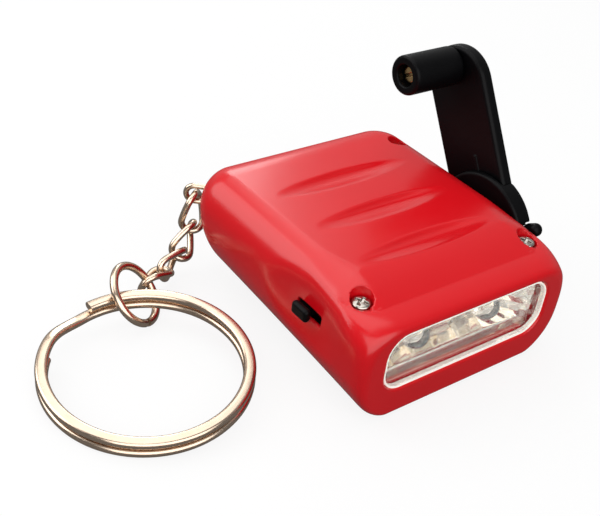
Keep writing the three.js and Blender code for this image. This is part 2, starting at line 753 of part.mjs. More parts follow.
// Main board with the slide switch on its left face
add('main_board', block(mainBoardX, mainBoardX + boardThickness, mainBoardFrontY, mainBoardBackY,
  mainBoardLowZ, mainBoardHighZ), ...boardGreen);
const canLeftX = mainBoardX - canDepth;
const canMiddleY = (wallSlotFrontY + wallSlotBackY) / 2;
const can = block(canLeftX, mainBoardX, canMiddleY - canLength / 2, canMiddleY + canLength / 2,
  switchZ - canHeight / 2, switchZ + canHeight / 2);
const canHollow = block(canLeftX - overrun, mainBoardX - canWall, canMiddleY - canLength / 2 + canWall,
  canMiddleY + canLength / 2 - canWall, switchZ - canHeight / 2 + canWall, switchZ + canHeight / 2 - canWall);
add('switch_body', can.subtract(canHollow), ...steel);
const sliderOuterX = -caseHalfWidth - sliderProud;
const sliderInnerX = -caseHalfWidth + dishDepth - sliderLift;
const footLeftX = mainBoardX - canWall - gap - footThickness;
const sliderBody = joined(
  block(sliderOuterX, sliderInnerX, switchY - sliderLength / 2, switchY + sliderLength / 2,
    switchZ - sliderHeight / 2, switchZ + sliderHeight / 2),
  block(sliderInnerX - gap, footLeftX + footThickness, switchY + sliderLength / 2 - stemLength,
    switchY + sliderLength / 2, switchZ - stemHeight / 2, switchZ + stemHeight / 2),
);
const gripGrooves = evenPlaces(gripCount, gripPitch).map((step) => block(sliderOuterX - overrun,
  sliderOuterX + gripDepth, switchY + step - gripWidth / 2, switchY + step + gripWidth / 2,
  switchZ - sliderHeight, switchZ + sliderHeight));
add('switch_slider', cut(sliderBody, ...gripGrooves), ...blackPlastic);

// Rectifier diodes and storage capacitor on the right face of the main board
const boardFaceX = mainBoardX + boardThickness;
const diodeZ = mainBoardLowZ + diodeFromFoot;
for (let i = 0; i < diodeCount; i++) {
  const y = mainBoardFrontY + diodeFromFront + i * diodePitch;
  const x = boardFaceX + gap + diodeRadius;
  const ends = [-1, 1].map((end) => block(boardFaceX, x, y - diodeLeadWidth / 2, y + diodeLeadWidth / 2,
    diodeZ + end * (diodeLength / 2 + diodeLeadWidth / 2) - diodeLeadWidth / 2,
    diodeZ + end * (diodeLength / 2 + diodeLeadWidth / 2) + diodeLeadWidth / 2));
  const wire = block(x - diodeLeadWidth / 2, x + diodeLeadWidth / 2,
    y - diodeLeadWidth / 2, y + diodeLeadWidth / 2,
    diodeZ - diodeLength / 2 - diodeLeadWidth, diodeZ + diodeLength / 2 + diodeLeadWidth);
  const barrel = rodZ(diodeRadius, diodeZ - diodeLength / 2, diodeZ + diodeLength / 2, x, y, smallSides);
  add(`diode_${i + 1}`, joined(barrel, wire, ...ends), '#2a2a2c', 0.4, 0);
}
add('capacitor', rodX(capacitorRadius, boardFaceX, boardFaceX + capacitorLength,
  mainBoardBackY - capacitorFromBack, mainBoardLowZ + capacitorFromFoot), '#26365c', 0.35, 0);

// Button cells in their cradle, a contact at each end
const cellsRightX = cellLeftX + cellCount * cellThickness;
for (let i = 0; i < cellCount; i++) {
  const x = cellLeftX + i * cellThickness;
  add(`cell_${i + 1}`, joined(
    rodX(cellRadius, x + cellRimDepth, x + cellThickness, cellY, cellZ),
    rodX(cellRimRadius, x, x + cellThickness, cellY, cellZ),
  ), ...steel);
}
const cradleBlock = block(cellLeftX, cellsRightX,
  cellY - cellRadius - cradleWall, cellY + cellRadius + cradleWall, 0, cellZ - cradleDrop);
const cradleLimit = caseSolid(caseWall + gap);
add('cell_cradle', cradleBlock.intersect(cradleLimit)
  .subtract(rodX(cellRadius + gap, cellLeftX - overrun, cellsRightX + overrun, cellY, cellZ)), ...blackPlastic);
for (const [name, x, away] of [['contact_left', cellLeftX, -1], ['contact_right', cellsRightX, 1]]) {
  const near = x + away * gap;
  const far = near + away * contactThickness;
  add(name, block(Math.min(near, far), Math.max(near, far), cellY - contactHalfWidth, cellY + contactHalfWidth,
    cellZ - contactHalfHeight, cellZ + contactHalfHeight), ...steel);
}

// Gears: a wheel about X, one tooth centred on the given angle in the YZ plane
function gear(teeth, angle, x0, x1, y, z) {
  const pitchRadius = gearModule * teeth / 2;
  const tipRadius = pitchRadius + gearModule * addendumShare;
  const rootRadius = pitchRadius - gearModule * dedendumShare;
  const step = 2 * Math.PI / teeth;
  const rootHalf = step * toothRootShare / 2;
  const tipHalf = step * toothTipShare / 2;
  const shape = new THREE.Shape();
  for (let i = 0; i < teeth; i++) {
    const middle = angle + i * step;
    for (const [radius, offset] of [[rootRadius, -rootHalf], [tipRadius, -tipHalf], [tipRadius, tipHalf],
      [rootRadius, rootHalf]]) {
      const px = radius * Math.cos(middle + offset);
      const py = radius * Math.sin(middle + offset);
      if (i === 0 && offset === -rootHalf) shape.moveTo(px, py);
      else shape.lineTo(px, py);
    }
  }
  shape.closePath();
  const wheel = new THREE.ExtrudeGeometry(shape, { depth: x1 - x0, bevelEnabled: false, curveSegments: 1 });
  wheel.applyMatrix4(new THREE.Matrix4().set(0, 0, 1, x0, 1, 0, 0, y, 0, 1, 0, z, 0, 0, 0, 1));
  return solid(wheel);
}

const backward = 0;
const forward = Math.PI;
const pinionHalfStep = Math.PI / pinionTeeth;
const pinBore = pinRadius + pinGap;
add('drive_gear', cut(joined(
  gear(driveTeeth, backward, firstPlaneX, firstEndX, hubY, hubZ),
  rodX(discStemRadius, firstEndX - gap, firstEndX + stageGap / 2, hubY, hubZ),
), rodX(axleRadius + pinGap, firstPlaneX + gap, firstEndX + overrun, hubY, hubZ, smallSides)), ...whiteNylon);
add('idler_gear_1', cut(joined(
  gear(pinionTeeth, forward + pinionHalfStep, secondPlaneX, firstEndX, idlerOneY, hubZ),
  gear(wheelTeeth, forward, secondPlaneX, secondEndX, idlerOneY, hubZ),
  rodX(gearHubRadius - gap, thirdPlaneX, secondPlaneX + gap, idlerOneY, hubZ, smallSides),
), rodX(pinBore, thirdPlaneX - overrun, firstEndX + overrun, idlerOneY, hubZ, smallSides)), ...whiteNylon);
add('idler_gear_2', cut(joined(
  gear(pinionTeeth, backward + pinionHalfStep, thirdPlaneX, secondEndX, idlerTwoY, hubZ),
  gear(wheelTeeth, forward, thirdPlaneX, thirdEndX, idlerTwoY, hubZ),
), rodX(pinBore, thirdPlaneX - overrun, secondEndX + overrun, idlerTwoY, hubZ, smallSides)), ...whiteNylon);
add('rotor_pinion', gear(pinionTeeth, backward + pinionHalfStep, thirdPlaneX, thirdEndX, rotorY, hubZ)
  .subtract(rodX(pinBore, thirdPlaneX - overrun, thirdEndX + overrun, rotorY, hubZ, smallSides)),
...whiteNylon);
add('idler_pin_1', rodX(pinRadius, gearPlateX, firstEndX + gap, idlerOneY, hubZ, smallSides), ...darkSteel);
add('idler_pin_2', rodX(pinRadius, gearPlateX, secondEndX + gap, idlerTwoY, hubZ, smallSides), ...darkSteel);

// Gear plate: carries the pins and the rotor's right bearing
add('gear_plate', cut(
  block(gearPlateX, gearPlateRightX, gearPlateFrontY, gearPlateBackY, gearPlateLowZ, gearPlateHighZ),
  ...[idlerOneY, idlerTwoY, rotorY].map((y) => (
    rodX(pinBore, gearPlateX - overrun, gearPlateRightX + overrun, y, hubZ, smallSides))),
), ...whiteNylon);

// Rotor, stator and coil
const bracketLeftX = magnetLeftX - gap - bracketThickness;
add('rotor_shaft', rodX(pinRadius, bracketLeftX, thirdEndX + gap, rotorY, hubZ, smallSides), ...steel);
add('rotor_magnet', rodX(magnetRadius, magnetLeftX, magnetRightX, rotorY, hubZ)
  .subtract(rodX(pinBore, magnetLeftX - overrun, magnetRightX + overrun, rotorY, hubZ, smallSides)),
...darkSteel);
const poleRadius = magnetRadius + airGap;
const armLowZ = hubZ - poleRadius - coreThickness;
const armHighZ = hubZ + poleRadius + coreThickness;
const coreLeftX = coreX - coreWidth / 2;
const coreRightX = coreX + coreWidth / 2;
const legY = coreBackY - coreLegDepth / 2;
const coreFrontY = rotorY - poleHalfWidth;
const coreBody = joined(
  block(coreLeftX, coreRightX, coreFrontY, coreBackY, hubZ + poleRadius, armHighZ),
  block(coreLeftX, coreRightX, coreFrontY, coreBackY, armLowZ, hubZ - poleRadius),
  block(coreLeftX, coreRightX, coreBackY - coreLegDepth, coreBackY, armLowZ, armHighZ),
  block(coreLeftX, coreRightX, coreFrontY, rotorY + poleHalfWidth, hubZ + poleRadius / 2, armHighZ),
  block(coreLeftX, coreRightX, coreFrontY, rotorY + poleHalfWidth, armLowZ, hubZ - poleRadius / 2),
);
add('stator_core', coreBody.subtract(rodX(poleRadius, coreLeftX - overrun, coreRightX + overrun, rotorY, hubZ)),
  ...darkSteel);
const bobbinLowZ = hubZ - poleRadius + gap;
const bobbinHighZ = hubZ + poleRadius - gap;
const bobbinTubeRadius = Math.hypot(coreWidth, coreLegDepth) / 2 + gap + bobbinWall;
add('coil_bobbin', cut(joined(
  rodZ(bobbinTubeRadius, bobbinLowZ, bobbinHighZ, coreX, legY),
  rodZ(bobbinFlangeRadius, bobbinLowZ, bobbinLowZ + bobbinFlangeThickness, coreX, legY),
  rodZ(bobbinFlangeRadius, bobbinHighZ - bobbinFlangeThickness, bobbinHighZ, coreX, legY),
), block(coreLeftX - gap, coreRightX + gap, coreBackY - coreLegDepth - gap, coreBackY + gap,
  bobbinLowZ - overrun, bobbinHighZ + overrun)), ...whiteNylon);
add('coil_winding', rodZ(windingRadius, bobbinLowZ + bobbinFlangeThickness + gap,
  bobbinHighZ - bobbinFlangeThickness - gap, coreX, legY)
  .subtract(rodZ(bobbinTubeRadius + gap, 0, caseHeight, coreX, legY)), ...copper);
add('rotor_bracket', cut(joined(
  block(bracketLeftX, bracketLeftX + bracketThickness, rotorY - bracketHalfWidth, rotorY + bracketHalfWidth,
    armLowZ, armHighZ),
  block(bracketLeftX, coreLeftX, rotorY - bracketHalfWidth, rotorY + bracketHalfWidth,
    armHighZ - bracketThickness, armHighZ),
  block(bracketLeftX, coreLeftX, rotorY - bracketHalfWidth, rotorY + bracketHalfWidth,
    armLowZ, armLowZ + bracketThickness),
), rodX(pinBore, bracketLeftX - overrun, bracketLeftX + overrun, rotorY, hubZ, smallSides)), ...blackPlastic);

// Crank: turntable, axle, folding arm, cross pin and knob, drawn with the arm along +Y and then turned
const slotHalf = armHalfWidth + gap;
const cheekOuterX = discOuterX + cheekThickness;
const crankTurn = [THREE.MathUtils.radToDeg(crankAngle), 0, 0];
function turned(body) {
  return body.rotate(crankTurn).translate([0, hubY, hubZ]);
}
const knuckleRadius = armThickness / 2;
const cheekHalfSpan = Math.sqrt(discRadius ** 2 - hingeSetback ** 2);
const headSeat = cheekHalfSpan - hingePinHeadSeat;
const disc = cut(joined(
  rodX(discRadius, discInnerX, cheekOuterX, 0, 0, discSides),
  rodX(discStemRadius, firstEndX + stageGap, discInnerX + gap, 0, 0),
),
block(discOuterX, cheekOuterX + overrun, -discRadius - overrun, discRadius + overrun, -slotHalf, slotHalf),
rodZ(hingePinRadius + pinGap, -discRadius - overrun, discRadius + overrun, armMiddleX, -hingeSetback,
  smallSides),
rodZ(hingePinHeadRadius + pinGap, headSeat - gap, discRadius + overrun, armMiddleX, -hingeSetback, smallSides),
rodX(axleRadius + pinGap, firstEndX, discInnerX, 0, 0, smallSides));
add('crank_disc', turned(disc), ...blackPlastic);
add('crank_axle', turned(rodX(axleRadius, firstPlaneX + gap + gap, discInnerX - gap, 0, 0, smallSides)),
  ...darkSteel);
add('hinge_pin', turned(joined(
  rodZ(hingePinRadius, gap - cheekHalfSpan, cheekHalfSpan, armMiddleX, -hingeSetback, smallSides),
  rodZ(hingePinHeadRadius, headSeat, cheekHalfSpan + hingePinHeadProud, armMiddleX, -hingeSetback, smallSides),
)), ...blackPlastic);

const armTip = new THREE.Shape();
const tipCentre = armReach + knobRadius - armHalfWidth;
armTip.moveTo(-hingeSetback, -armHalfWidth);
armTip.lineTo(tipCentre, -armHalfWidth);
armTip.absarc(tipCentre, 0, armHalfWidth, -Math.PI / 2, Math.PI / 2, false);
armTip.lineTo(-hingeSetback, armHalfWidth);
armTip.closePath();
const armPlate = new THREE.ExtrudeGeometry(armTip, { depth: armThickness, bevelEnabled: false,
  curveSegments: armTipSteps });
armPlate.applyMatrix4(new THREE.Matrix4().set(0, 0, 1, armInnerX, 1, 0, 0, 0, 0, 1, 0, 0, 0, 0, 0, 1));
const knobOpenX = armInnerX - gap - knobTubeLength;
const screwHeadX = knobOpenX + knobScrewInset;
const studEndX = screwHeadX + knobScrewHeadHeight + gap;
const arm = cut(joined(
  solid(armPlate),
  rodZ(knuckleRadius, -armHalfWidth, armHalfWidth, armMiddleX, -hingeSetback),
  rodX(knobStudRadius, studEndX, armInnerX + gap, armReach, 0),
),
rodZ(hingePinRadius + pinGap, -armHalfWidth - overrun, armHalfWidth + overrun, armMiddleX, -hingeSetback,
  smallSides),
rodX(knobScrewShankRadius + pinGap, studEndX - overrun, screwHeadX + knobScrewLength + gap, armReach, 0,
  smallSides));
add('crank_arm', turned(arm), ...blackPlastic);
add('crank_knob', turned(cut(
  rodX(knobRadius, knobOpenX, armInnerX - gap, armReach, 0, discSides),
  rodX(knobStudRadius + gap, knobOpenX - overrun, armInnerX + overrun, armReach, 0),
  rodX(knobScrewHeadRadius + gap, knobOpenX - overrun, studEndX, armReach, 0),
)), ...blackPlastic);
add('knob_screw', turned(cut(joined(
  rodX(knobScrewHeadRadius, screwHeadX, screwHeadX + knobScrewHeadHeight, armReach, 0),
  rodX(knobScrewShankRadius, screwHeadX + knobScrewSlotWidth, screwHeadX + knobScrewLength, armReach, 0,
    smallSides),
), block(screwHeadX - overrun, screwHeadX + knobScrewSlotWidth, armReach - knobScrewSlotWidth / 2,
  armReach + knobScrewSlotWidth / 2, -knobRadius, knobRadius))), ...brassScrew);

// Chain: the wire eye in the case, then four twisted links, each pitch on from the last
add('chain_eye', eyeBody(eyeWire, eyeLegLength), ...steel);
const pitch = linkLength - linkWire - linkGap;
const wireStep = (linkWire + linkGap) / 2;
const jumpPull = jumpRadius - (jumpWire + linkWire) / 4 - linkGap / 2;
const jumpNormal = new THREE.Vector3(Math.sin(jumpTilt) * Math.cos(jumpHeading),
  Math.sin(jumpTilt) * Math.sin(jumpHeading), Math.cos(jumpTilt));
const jumpOut = new THREE.Vector3(Math.cos(jumpPullHeading), Math.sin(jumpPullHeading), 0);
jumpOut.addScaledVector(jumpNormal, -jumpOut.dot(jumpNormal)).normalize();
const jumpHeight = jumpRadius * Math.sin(jumpTilt) + jumpWire / 2 + floorGap;
const joints = [eyeBar.clone().add(new THREE.Vector3(0, 0, wireStep))];
const drop = joints[0].z - (jumpHeight + jumpPull * jumpOut.z);
linkHeadings.forEach((heading, i) => {
  const steepest = linkSteepestShare * pitch;
  const fall = Math.max(-steepest, Math.min(steepest, drop * linkDropShares[i]));
  const level = Math.sqrt(pitch ** 2 - fall ** 2);
  const step = new THREE.Vector3(level * Math.cos(heading), level * Math.sin(heading), -fall);
  joints.push(joints[i].clone().add(step));
});

function linkPoints(from, to, roll, twist) {
  const along = to.clone().sub(from).normalize();
  const middle = from.clone().add(to).multiplyScalar(0.5);
  const side = new THREE.Vector3(0, 0, 1).cross(along).normalize();
  const rise = along.clone().cross(side);
  const endRadius = linkWidth / 2;
  const straight = linkLength / 2 - endRadius;
  const lap = 2 * Math.PI * endRadius + 4 * straight;
  const points = [];
  for (let i = 0; i < loopSteps; i++) {
    const walked = lap * i / loopSteps;
    const turn = Math.PI * endRadius;
    let place;
    if (walked < 2 * straight) place = [walked - straight, endRadius];
    else if (walked < 2 * straight + turn) {
      const angle = (walked - 2 * straight) / endRadius;
      place = [straight + endRadius * Math.sin(angle), endRadius * Math.cos(angle)];
    } else if (walked < 4 * straight + turn) place = [3 * straight + turn - walked, -endRadius];
    else {
      const angle = (walked - 4 * straight - turn) / endRadius;
      place = [-straight - endRadius * Math.sin(angle), -endRadius * Math.cos(angle)];
    }
    const angle = roll + twist * place[0] / linkLength;
    points.push(middle.clone().addScaledVector(along, place[0])
      .addScaledVector(side, place[1] * Math.cos(angle)).addScaledVector(rise, place[1] * Math.sin(angle)));
  }
  return { points, middle };
}

for (let i = 0; i < linkHeadings.length; i++) {
  const { points, middle } = linkPoints(joints[i], joints[i + 1], linkRolls[i], linkTwists[i]);
  const frames = framesAlong(points, true, (k) => points[k].clone().sub(middle));
  add(`chain_link_${i + 1}`, tube(frames, roundSection(linkWire), true), ...steel);
}

// Jump ring, open at its butted ends
const lastJoint = joints[joints.length - 1];
const jumpCentre = lastJoint.clone().addScaledVector(jumpOut, -jumpPull);
const jumpSide = jumpNormal.clone().cross(jumpOut);
const jumpPoints = [];
for (let i = 0; i <= loopSteps; i++) {
  const angle = jumpOpeningPlace + jumpOpening / 2 + (2 * Math.PI - jumpOpening) * i / loopSteps;
  jumpPoints.push(jumpCentre.clone().addScaledVector(jumpOut, jumpRadius * Math.cos(angle))
    .addScaledVector(jumpSide, jumpRadius * Math.sin(angle)));
}
const jumpFrames = framesAlong(jumpPoints, false, () => jumpNormal);
add('jump_ring', tube(jumpFrames, roundSection(jumpWire), false), ...steel);

// Split ring: one flat wire wound twice, stepping up a level over a short arc
const ringLevel = ringWireHeight + ringCoilGap;
const ringHalfHeight = (ringLevel + ringWireHeight) / 2;
const ringUp = new THREE.Vector3(-Math.sin(ringTilt) * Math.cos(ringTiltHeading),
  -Math.sin(ringTilt) * Math.sin(ringTiltHeading), Math.cos(ringTilt));
const ringCentre = new THREE.Vector3(
  jumpCentre.x - (ringRadius + ringPastJump) * Math.cos(ringHeading),
  jumpCentre.y - (ringRadius + ringPastJump) * Math.sin(ringHeading),
  (ringRadius + ringWireWidth / 2) * Math.sin(ringTilt) + ringHalfHeight * Math.cos(ringTilt) + floorGap,
);
const ringEast = new THREE.Vector3(0, 1, 0).cross(ringUp).normalize();
const ringNorth = ringUp.clone().cross(ringEast);
const ringPoints = [];
const ringSteps = 2 * loopSteps;
const ringStart = ringStepHalf + ringEndGap;
const ringSweep = 4 * Math.PI - 2 * ringStart;
for (let i = 0; i <= ringSteps; i++) {
  const angle = ringStart + ringSweep * i / ringSteps;
  const past = (angle - 2 * Math.PI + ringStepHalf) / (2 * ringStepHalf);
  const share = THREE.MathUtils.smoothstep(past, 0, 1);
  const around = ringStepPlace + angle;
  ringPoints.push(ringCentre.clone()
    .addScaledVector(ringEast, ringRadius * Math.cos(around))
    .addScaledVector(ringNorth, ringRadius * Math.sin(around))
    .addScaledVector(ringUp, ringLevel * (share - 0.5)));
}
const flatWireShares = [[0.5, 0.22], [0.28, 0.5], [-0.28, 0.5], [-0.5, 0.22], [-0.5, -0.22], [-0.28, -0.5],
  [0.28, -0.5], [0.5, -0.22]];
const flatWire = flatWireShares.map(([wide, high]) => [wide * ringWireWidth, high * ringWireHeight]);
const ringFrames = framesAlong(ringPoints, false, (k) => ringPoints[k].clone().sub(ringCentre)
  .addScaledVector(ringUp, -ringPoints[k].clone().sub(ringCentre).dot(ringUp)));
add('split_ring', tube(ringFrames, flatWire, false), ...steel);

// Least gap of the split ring's wire to itself, measured on its points
let leastGap = Infinity;
for (let i = 0; i < ringPoints.length; i++) {
  for (let k = i + loopSteps / 2; k < ringPoints.length; k++) {
    const apart = ringPoints[i].clone().sub(ringPoints[k]);
    const high = Math.abs(apart.dot(ringUp));
    const level = Math.sqrt(Math.max(apart.lengthSq() - high ** 2, 0));
    const clear = level > ringWireWidth ? apart.length() - ringWireWidth : high - ringWireHeight;
    leastGap = Math.min(leastGap, clear);
  }
}
console.log(`split ring: least gap of the wire to itself ${leastGap.toFixed(2)} mm`);

export default parts;
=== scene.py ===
# %% [markdown]
# This lesson dresses a hand crank key ring light. The real one is a glossy red moulded case with a
# folding black crank on its right side, two clear lamps behind a window, and a chain with a split ring.
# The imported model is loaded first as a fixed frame, and every piece made here is placed by it. Lengths
# are written in millimetres. Beyond is a length that is further out than any piece reaches, for tools
# that cut right through.

# %% Load the frame
import math

import bmesh
import bpy
import numpy as np
from mathutils import Matrix, Vector


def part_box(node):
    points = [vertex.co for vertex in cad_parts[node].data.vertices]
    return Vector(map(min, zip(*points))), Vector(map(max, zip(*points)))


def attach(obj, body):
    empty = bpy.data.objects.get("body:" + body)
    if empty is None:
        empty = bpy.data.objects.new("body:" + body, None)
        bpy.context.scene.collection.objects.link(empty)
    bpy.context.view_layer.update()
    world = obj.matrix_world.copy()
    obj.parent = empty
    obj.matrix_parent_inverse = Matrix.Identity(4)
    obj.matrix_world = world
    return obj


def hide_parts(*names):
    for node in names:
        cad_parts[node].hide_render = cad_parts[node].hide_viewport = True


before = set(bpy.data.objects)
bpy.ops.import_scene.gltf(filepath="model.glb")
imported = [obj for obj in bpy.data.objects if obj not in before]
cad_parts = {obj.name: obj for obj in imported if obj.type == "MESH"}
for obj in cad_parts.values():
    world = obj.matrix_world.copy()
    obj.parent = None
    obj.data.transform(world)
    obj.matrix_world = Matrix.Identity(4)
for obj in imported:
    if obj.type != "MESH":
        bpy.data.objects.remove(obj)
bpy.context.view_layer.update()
mm = 0.001
beyond = 99


def box_mm(node):
    low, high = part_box(node)
    return np.array(low) / mm, np.array(high) / mm


case_low = box_mm("bottom_shell")[0]
top_low, top_high = box_mm("top_shell")
print("case from", case_low.round(1), "to", top_high.round(1), "mm")

# %% [markdown]
# The camera comes before the pieces. It stands in front of the lamps, a little to the left and above,
# and it is rolled a few degrees, because the light was photographed by hand. Its distance is small, so
# the near corner of the case looms. A long lens further away would flatten that corner.

# %% Camera
photo_width = 600
focal_pixels = 1064.92
sensor_width = 36
camera_azimuth = math.radians(-41.12)
camera_elevation = math.radians(34.16)
camera_roll = math.radians(8.02)
camera_distance = 214.72 * mm
nearest_drawn = 5 * mm
camera_target = Vector((-2.01, 17.82, 0.48)) * mm

back = Vector((
    math.sin(camera_azimuth) * math.cos(camera_elevation),
    -math.cos(camera_azimuth) * math.cos(camera_elevation),
    math.sin(camera_elevation),
))
level_right = Vector((0, 0, 1)).cross(back).normalized()
level_up = back.cross(level_right)
right = level_right * math.cos(camera_roll) + level_up * math.sin(camera_roll)
up = level_up * math.cos(camera_roll) - level_right * math.sin(camera_roll)
camera_data = bpy.data.cameras.new("camera")
camera_data.sensor_width = sensor_width
camera_data.lens = focal_pixels / photo_width * sensor_width
camera_data.clip_start = nearest_drawn
camera = bpy.data.objects.new("camera", camera_data)
bpy.context.collection.objects.link(camera)
turn = Matrix((right, up, back)).transposed().to_4x4()
camera.matrix_world = Matrix.Translation(camera_target + back * camera_distance) @ turn
bpy.context.scene.camera = camera
print("lens", round(camera_data.lens, 1), "mm, camera", round(camera_distance / mm), "mm from its target")

# %% [markdown]
# Colours are written as the sRGB hex codes that a paint program shows, and one function turns them into
# the linear numbers that the renderer works in. A second small function adds one node with its
# settings. Where a value is another node's socket it is linked, and any other value is set directly.

# %% Colour and node helpers


def linear(code):
    shares = [int(code[i:i + 2], 16) / 255 for i in (1, 3, 5)]
    return [s / 12.92 if s <= 0.04045 else ((s + 0.055) / 1.055) ** 2.4 for s in shares] + [1]


def node(owner, kind, inputs=(), **settings):
    made = owner.node_tree.nodes.new(kind)
    for name, value in settings.items():
        setattr(made, name, value)
    for name, value in dict(inputs).items():
        if isinstance(value, bpy.types.NodeSocket):
            owner.node_tree.links.new(value, made.inputs[name])
        else:
            made.inputs[name].default_value = value
    return made


print("red is", [round(share, 3) for share in linear("#D80C17")], "in linear numbers")

# %% [markdown]
# Every finish here is built in the same way, because every real surface varies in the same three ways. Its
# colour drifts between two close tones in a cloud, its gloss drifts between two roughness values where
# it is scuffed, and its relief is one or two fine patterns laid over each other. A pattern is written as
# its size in millimetres and the number of finer layers in it, and a relief adds its depth. What is the
# same all over, such as the refractive index, is set on the shader itself.

# %% Build a finish


def finish(name, sockets, colours, cloud, roughness=None, scuff=None, reliefs=()):
    material = bpy.data.materials.new(name)
    material.use_nodes = True
    material.node_tree.nodes.clear()
    shader = node(material, "ShaderNodeBsdfPrincipled", sockets)
    node(material, "ShaderNodeOutputMaterial", {"Surface": shader.outputs["BSDF"]})
    place = node(material, "ShaderNodeTexCoord").outputs["Object"]
    patterns = {}
    for pattern in [cloud, scuff] + [relief[:2] for relief in reliefs]:
        if pattern and pattern not in patterns:
            size_mm, layers = pattern
            inputs = {"Vector": place, "Scale": 1 / (size_mm * mm), "Detail": layers}
            patterns[pattern] = node(material, "ShaderNodeTexNoise", inputs).outputs["Fac"]
    inputs = {"Factor": patterns[cloud], "A": linear(colours[0]), "B": linear(colours[1])}
    tone = node(material, "ShaderNodeMix", inputs, data_type="RGBA")
    material.node_tree.links.new(tone.outputs["Result"], shader.inputs["Base Color"])
    if scuff:
        inputs = {"Value": patterns[scuff], "To Min": roughness[0], "To Max": roughness[1]}
        gloss = node(material, "ShaderNodeMapRange", inputs)
        material.node_tree.links.new(gloss.outputs["Result"], shader.inputs["Roughness"])
    for size_mm, layers, depth_mm in reliefs:
        inputs = {"Height": patterns[size_mm, layers], "Distance": depth_mm * mm, "Strength": 1.0}
        if shader.inputs["Normal"].is_linked:
            inputs["Normal"] = shader.inputs["Normal"].links[0].from_socket
        bump = node(material, "ShaderNodeBump", inputs)
        material.node_tree.links.new(bump.outputs["Normal"], shader.inputs["Normal"])
    return material


print("one function builds every finish")

# %% [markdown]
# The case is moulded ABS from a polished steel mould. ABS shines like gloss paint, with a refractive
# index near 1.54. The mould's polish leaves waves some millimetres long and a few thousandths deep, which
# bend the reflections slightly. Handling has taken the edge off the gloss, so the highlights are soft.

# %% Red moulded plastic
red_plastic = finish(
    "red_gloss_abs", {"IOR": 1.54, "Specular IOR Level": 0.45},
    colours=("#D80C17", "#DF0E1A"), cloud=(14, 3),
    roughness=(0.2, 0.27), scuff=(2.2, 5),
    reliefs=((6, 1, 0.012), (0.25, 2, 0.0012)),
)
print("made", red_plastic.name)

# %% [markdown]
# The crank and the switch knob are moulded in a black plastic with a satin skin. A spark-eroded mould
# gives it grain of about a fifth of a millimetre, which widens the highlights. Its black is never zero,
# so that the shaded sides still show their form.

# %% Black moulded plastic
black_plastic = finish(
    "black_satin_abs", {"IOR": 1.52, "Specular IOR Level": 0.1},
    colours=("#040405", "#070709"), cloud=(5, 3),
    roughness=(0.34, 0.48), scuff=(1.4, 4),
    reliefs=((0.22, 2, 0.004), (5, 1, 0.012)),
)
print("made", black_plastic.name)

# %% [markdown]
# The chain and rings are steel wire with bright nickel plating. Nickel is a warm grey mirror. Rubbing
# in a pocket dulls it in patches a few millimetres across. The lamp tray is plastic with a skin of metal
# vapour, the brightest mirror here, and the inner metals range from bright zinc to dull ferrite.

# %% Plated and plain metals


def metal(name, colours, roughness, patch_mm, grain_mm, grain_depth_mm):
    return finish(name, {"Metallic": 1.0}, colours, (patch_mm, 3), roughness, (patch_mm / 3, 4),
                  ((grain_mm, 3, grain_depth_mm),))


nickel = metal("bright_nickel_plate", ("#E6D0BB", "#D0B9A2"), (0.16, 0.28), 3.0, 0.35, 0.0015)
zinc = metal("zinc_plated_steel", ("#C9C4BC", "#A29B92"), (0.16, 0.32), 1.6, 0.2, 0.004)
brass = metal("turned_brass", ("#E2C490", "#C29A62"), (0.18, 0.34), 1.2, 0.15, 0.004)
chrome = metal("vacuum_plated_chrome", ("#FBF4E8", "#F1EADC"), (0.03, 0.07), 6.0, 2.5, 0.002)
blackened = metal("blackened_steel", ("#5B5A5E", "#48474B"), (0.35, 0.5), 1.5, 0.2, 0.004)
ferrite = metal("sintered_ferrite", ("#3C3B3D", "#2C2B2E"), (0.6, 0.75), 1.0, 0.12, 0.01)
copper = metal("enamelled_copper_wire", ("#B9683A", "#9A4F28"), (0.3, 0.42), 1.0, 0.15, 0.006)
print("metals:", nickel.name, zinc.name, brass.name, chrome.name)

# %% [markdown]
# The window is clear polycarbonate and the lamps are cast epoxy. Both are dielectrics that let light
# through, so their shader is glass-like with full transmission. Polycarbonate has an index of 1.58, and
# epoxy about 1.5. Moulding leaves a faint wave in the window, and nothing else shows in it. A renderer
# lets no lamp shine straight through bent glass, so the window also has a low alpha, which lets its
# tray be lit. The window's edge gets a pale finish that glows. This is a painted highlight and painted
# glow, which stand in for the line of light that clear plastic leads out at its cut edge.

# %% Clear plastics
polycarbonate_index = 1.58
epoxy_index = 1.5


def clear(name, tint, index, rough, wave_mm, wave_depth_mm, cover=1.0):
    sockets = {"IOR": index, "Roughness": rough, "Transmission Weight": 1.0, "Alpha": cover}
    return finish(name, sockets, (tint, "#FFFFFF"), (wave_mm, 1), reliefs=((wave_mm, 1, wave_depth_mm),))


window_clear = clear("clear_polycarbonate", "#F4F7F8", polycarbonate_index, 0.01, 9, 0.004, 0.25)
lamp_clear = clear("clear_cast_epoxy", "#F6F3EE", epoxy_index, 0.02, 3, 0.003)
# Painted light: the edge's pale colours and its emission are a painted highlight and glow, not a lamp.
painted_glow_edge = finish(
    "polycarbonate_edge_painted_glow",
    {"IOR": polycarbonate_index, "Emission Color": linear("#FFF9EE"), "Emission Strength": 0.4},
    colours=("#F7F4EE", "#E9E4DA"), cloud=(2, 2),
    roughness=(0.4, 0.6), scuff=(1, 3),
    reliefs=((0.3, 2, 0.01),),
)
print("clear plastics:", window_clear.name, lamp_clear.name, painted_glow_edge.name)

# %% [markdown]
# What the case hides gets a finish too, because the shells can be lifted off in the library. Each is a
# plain moulded or printed material with its own colour change and fine grain, and one common index.

# %% Plain inner finishes
plain_index = 1.5


def plain(name, colours, roughness, patch_mm, grain_mm, grain_depth_mm):
    return finish(name, {"IOR": plain_index}, colours, (patch_mm, 3), roughness, (patch_mm / 2, 3),
                  ((grain_mm, 2, grain_depth_mm),))


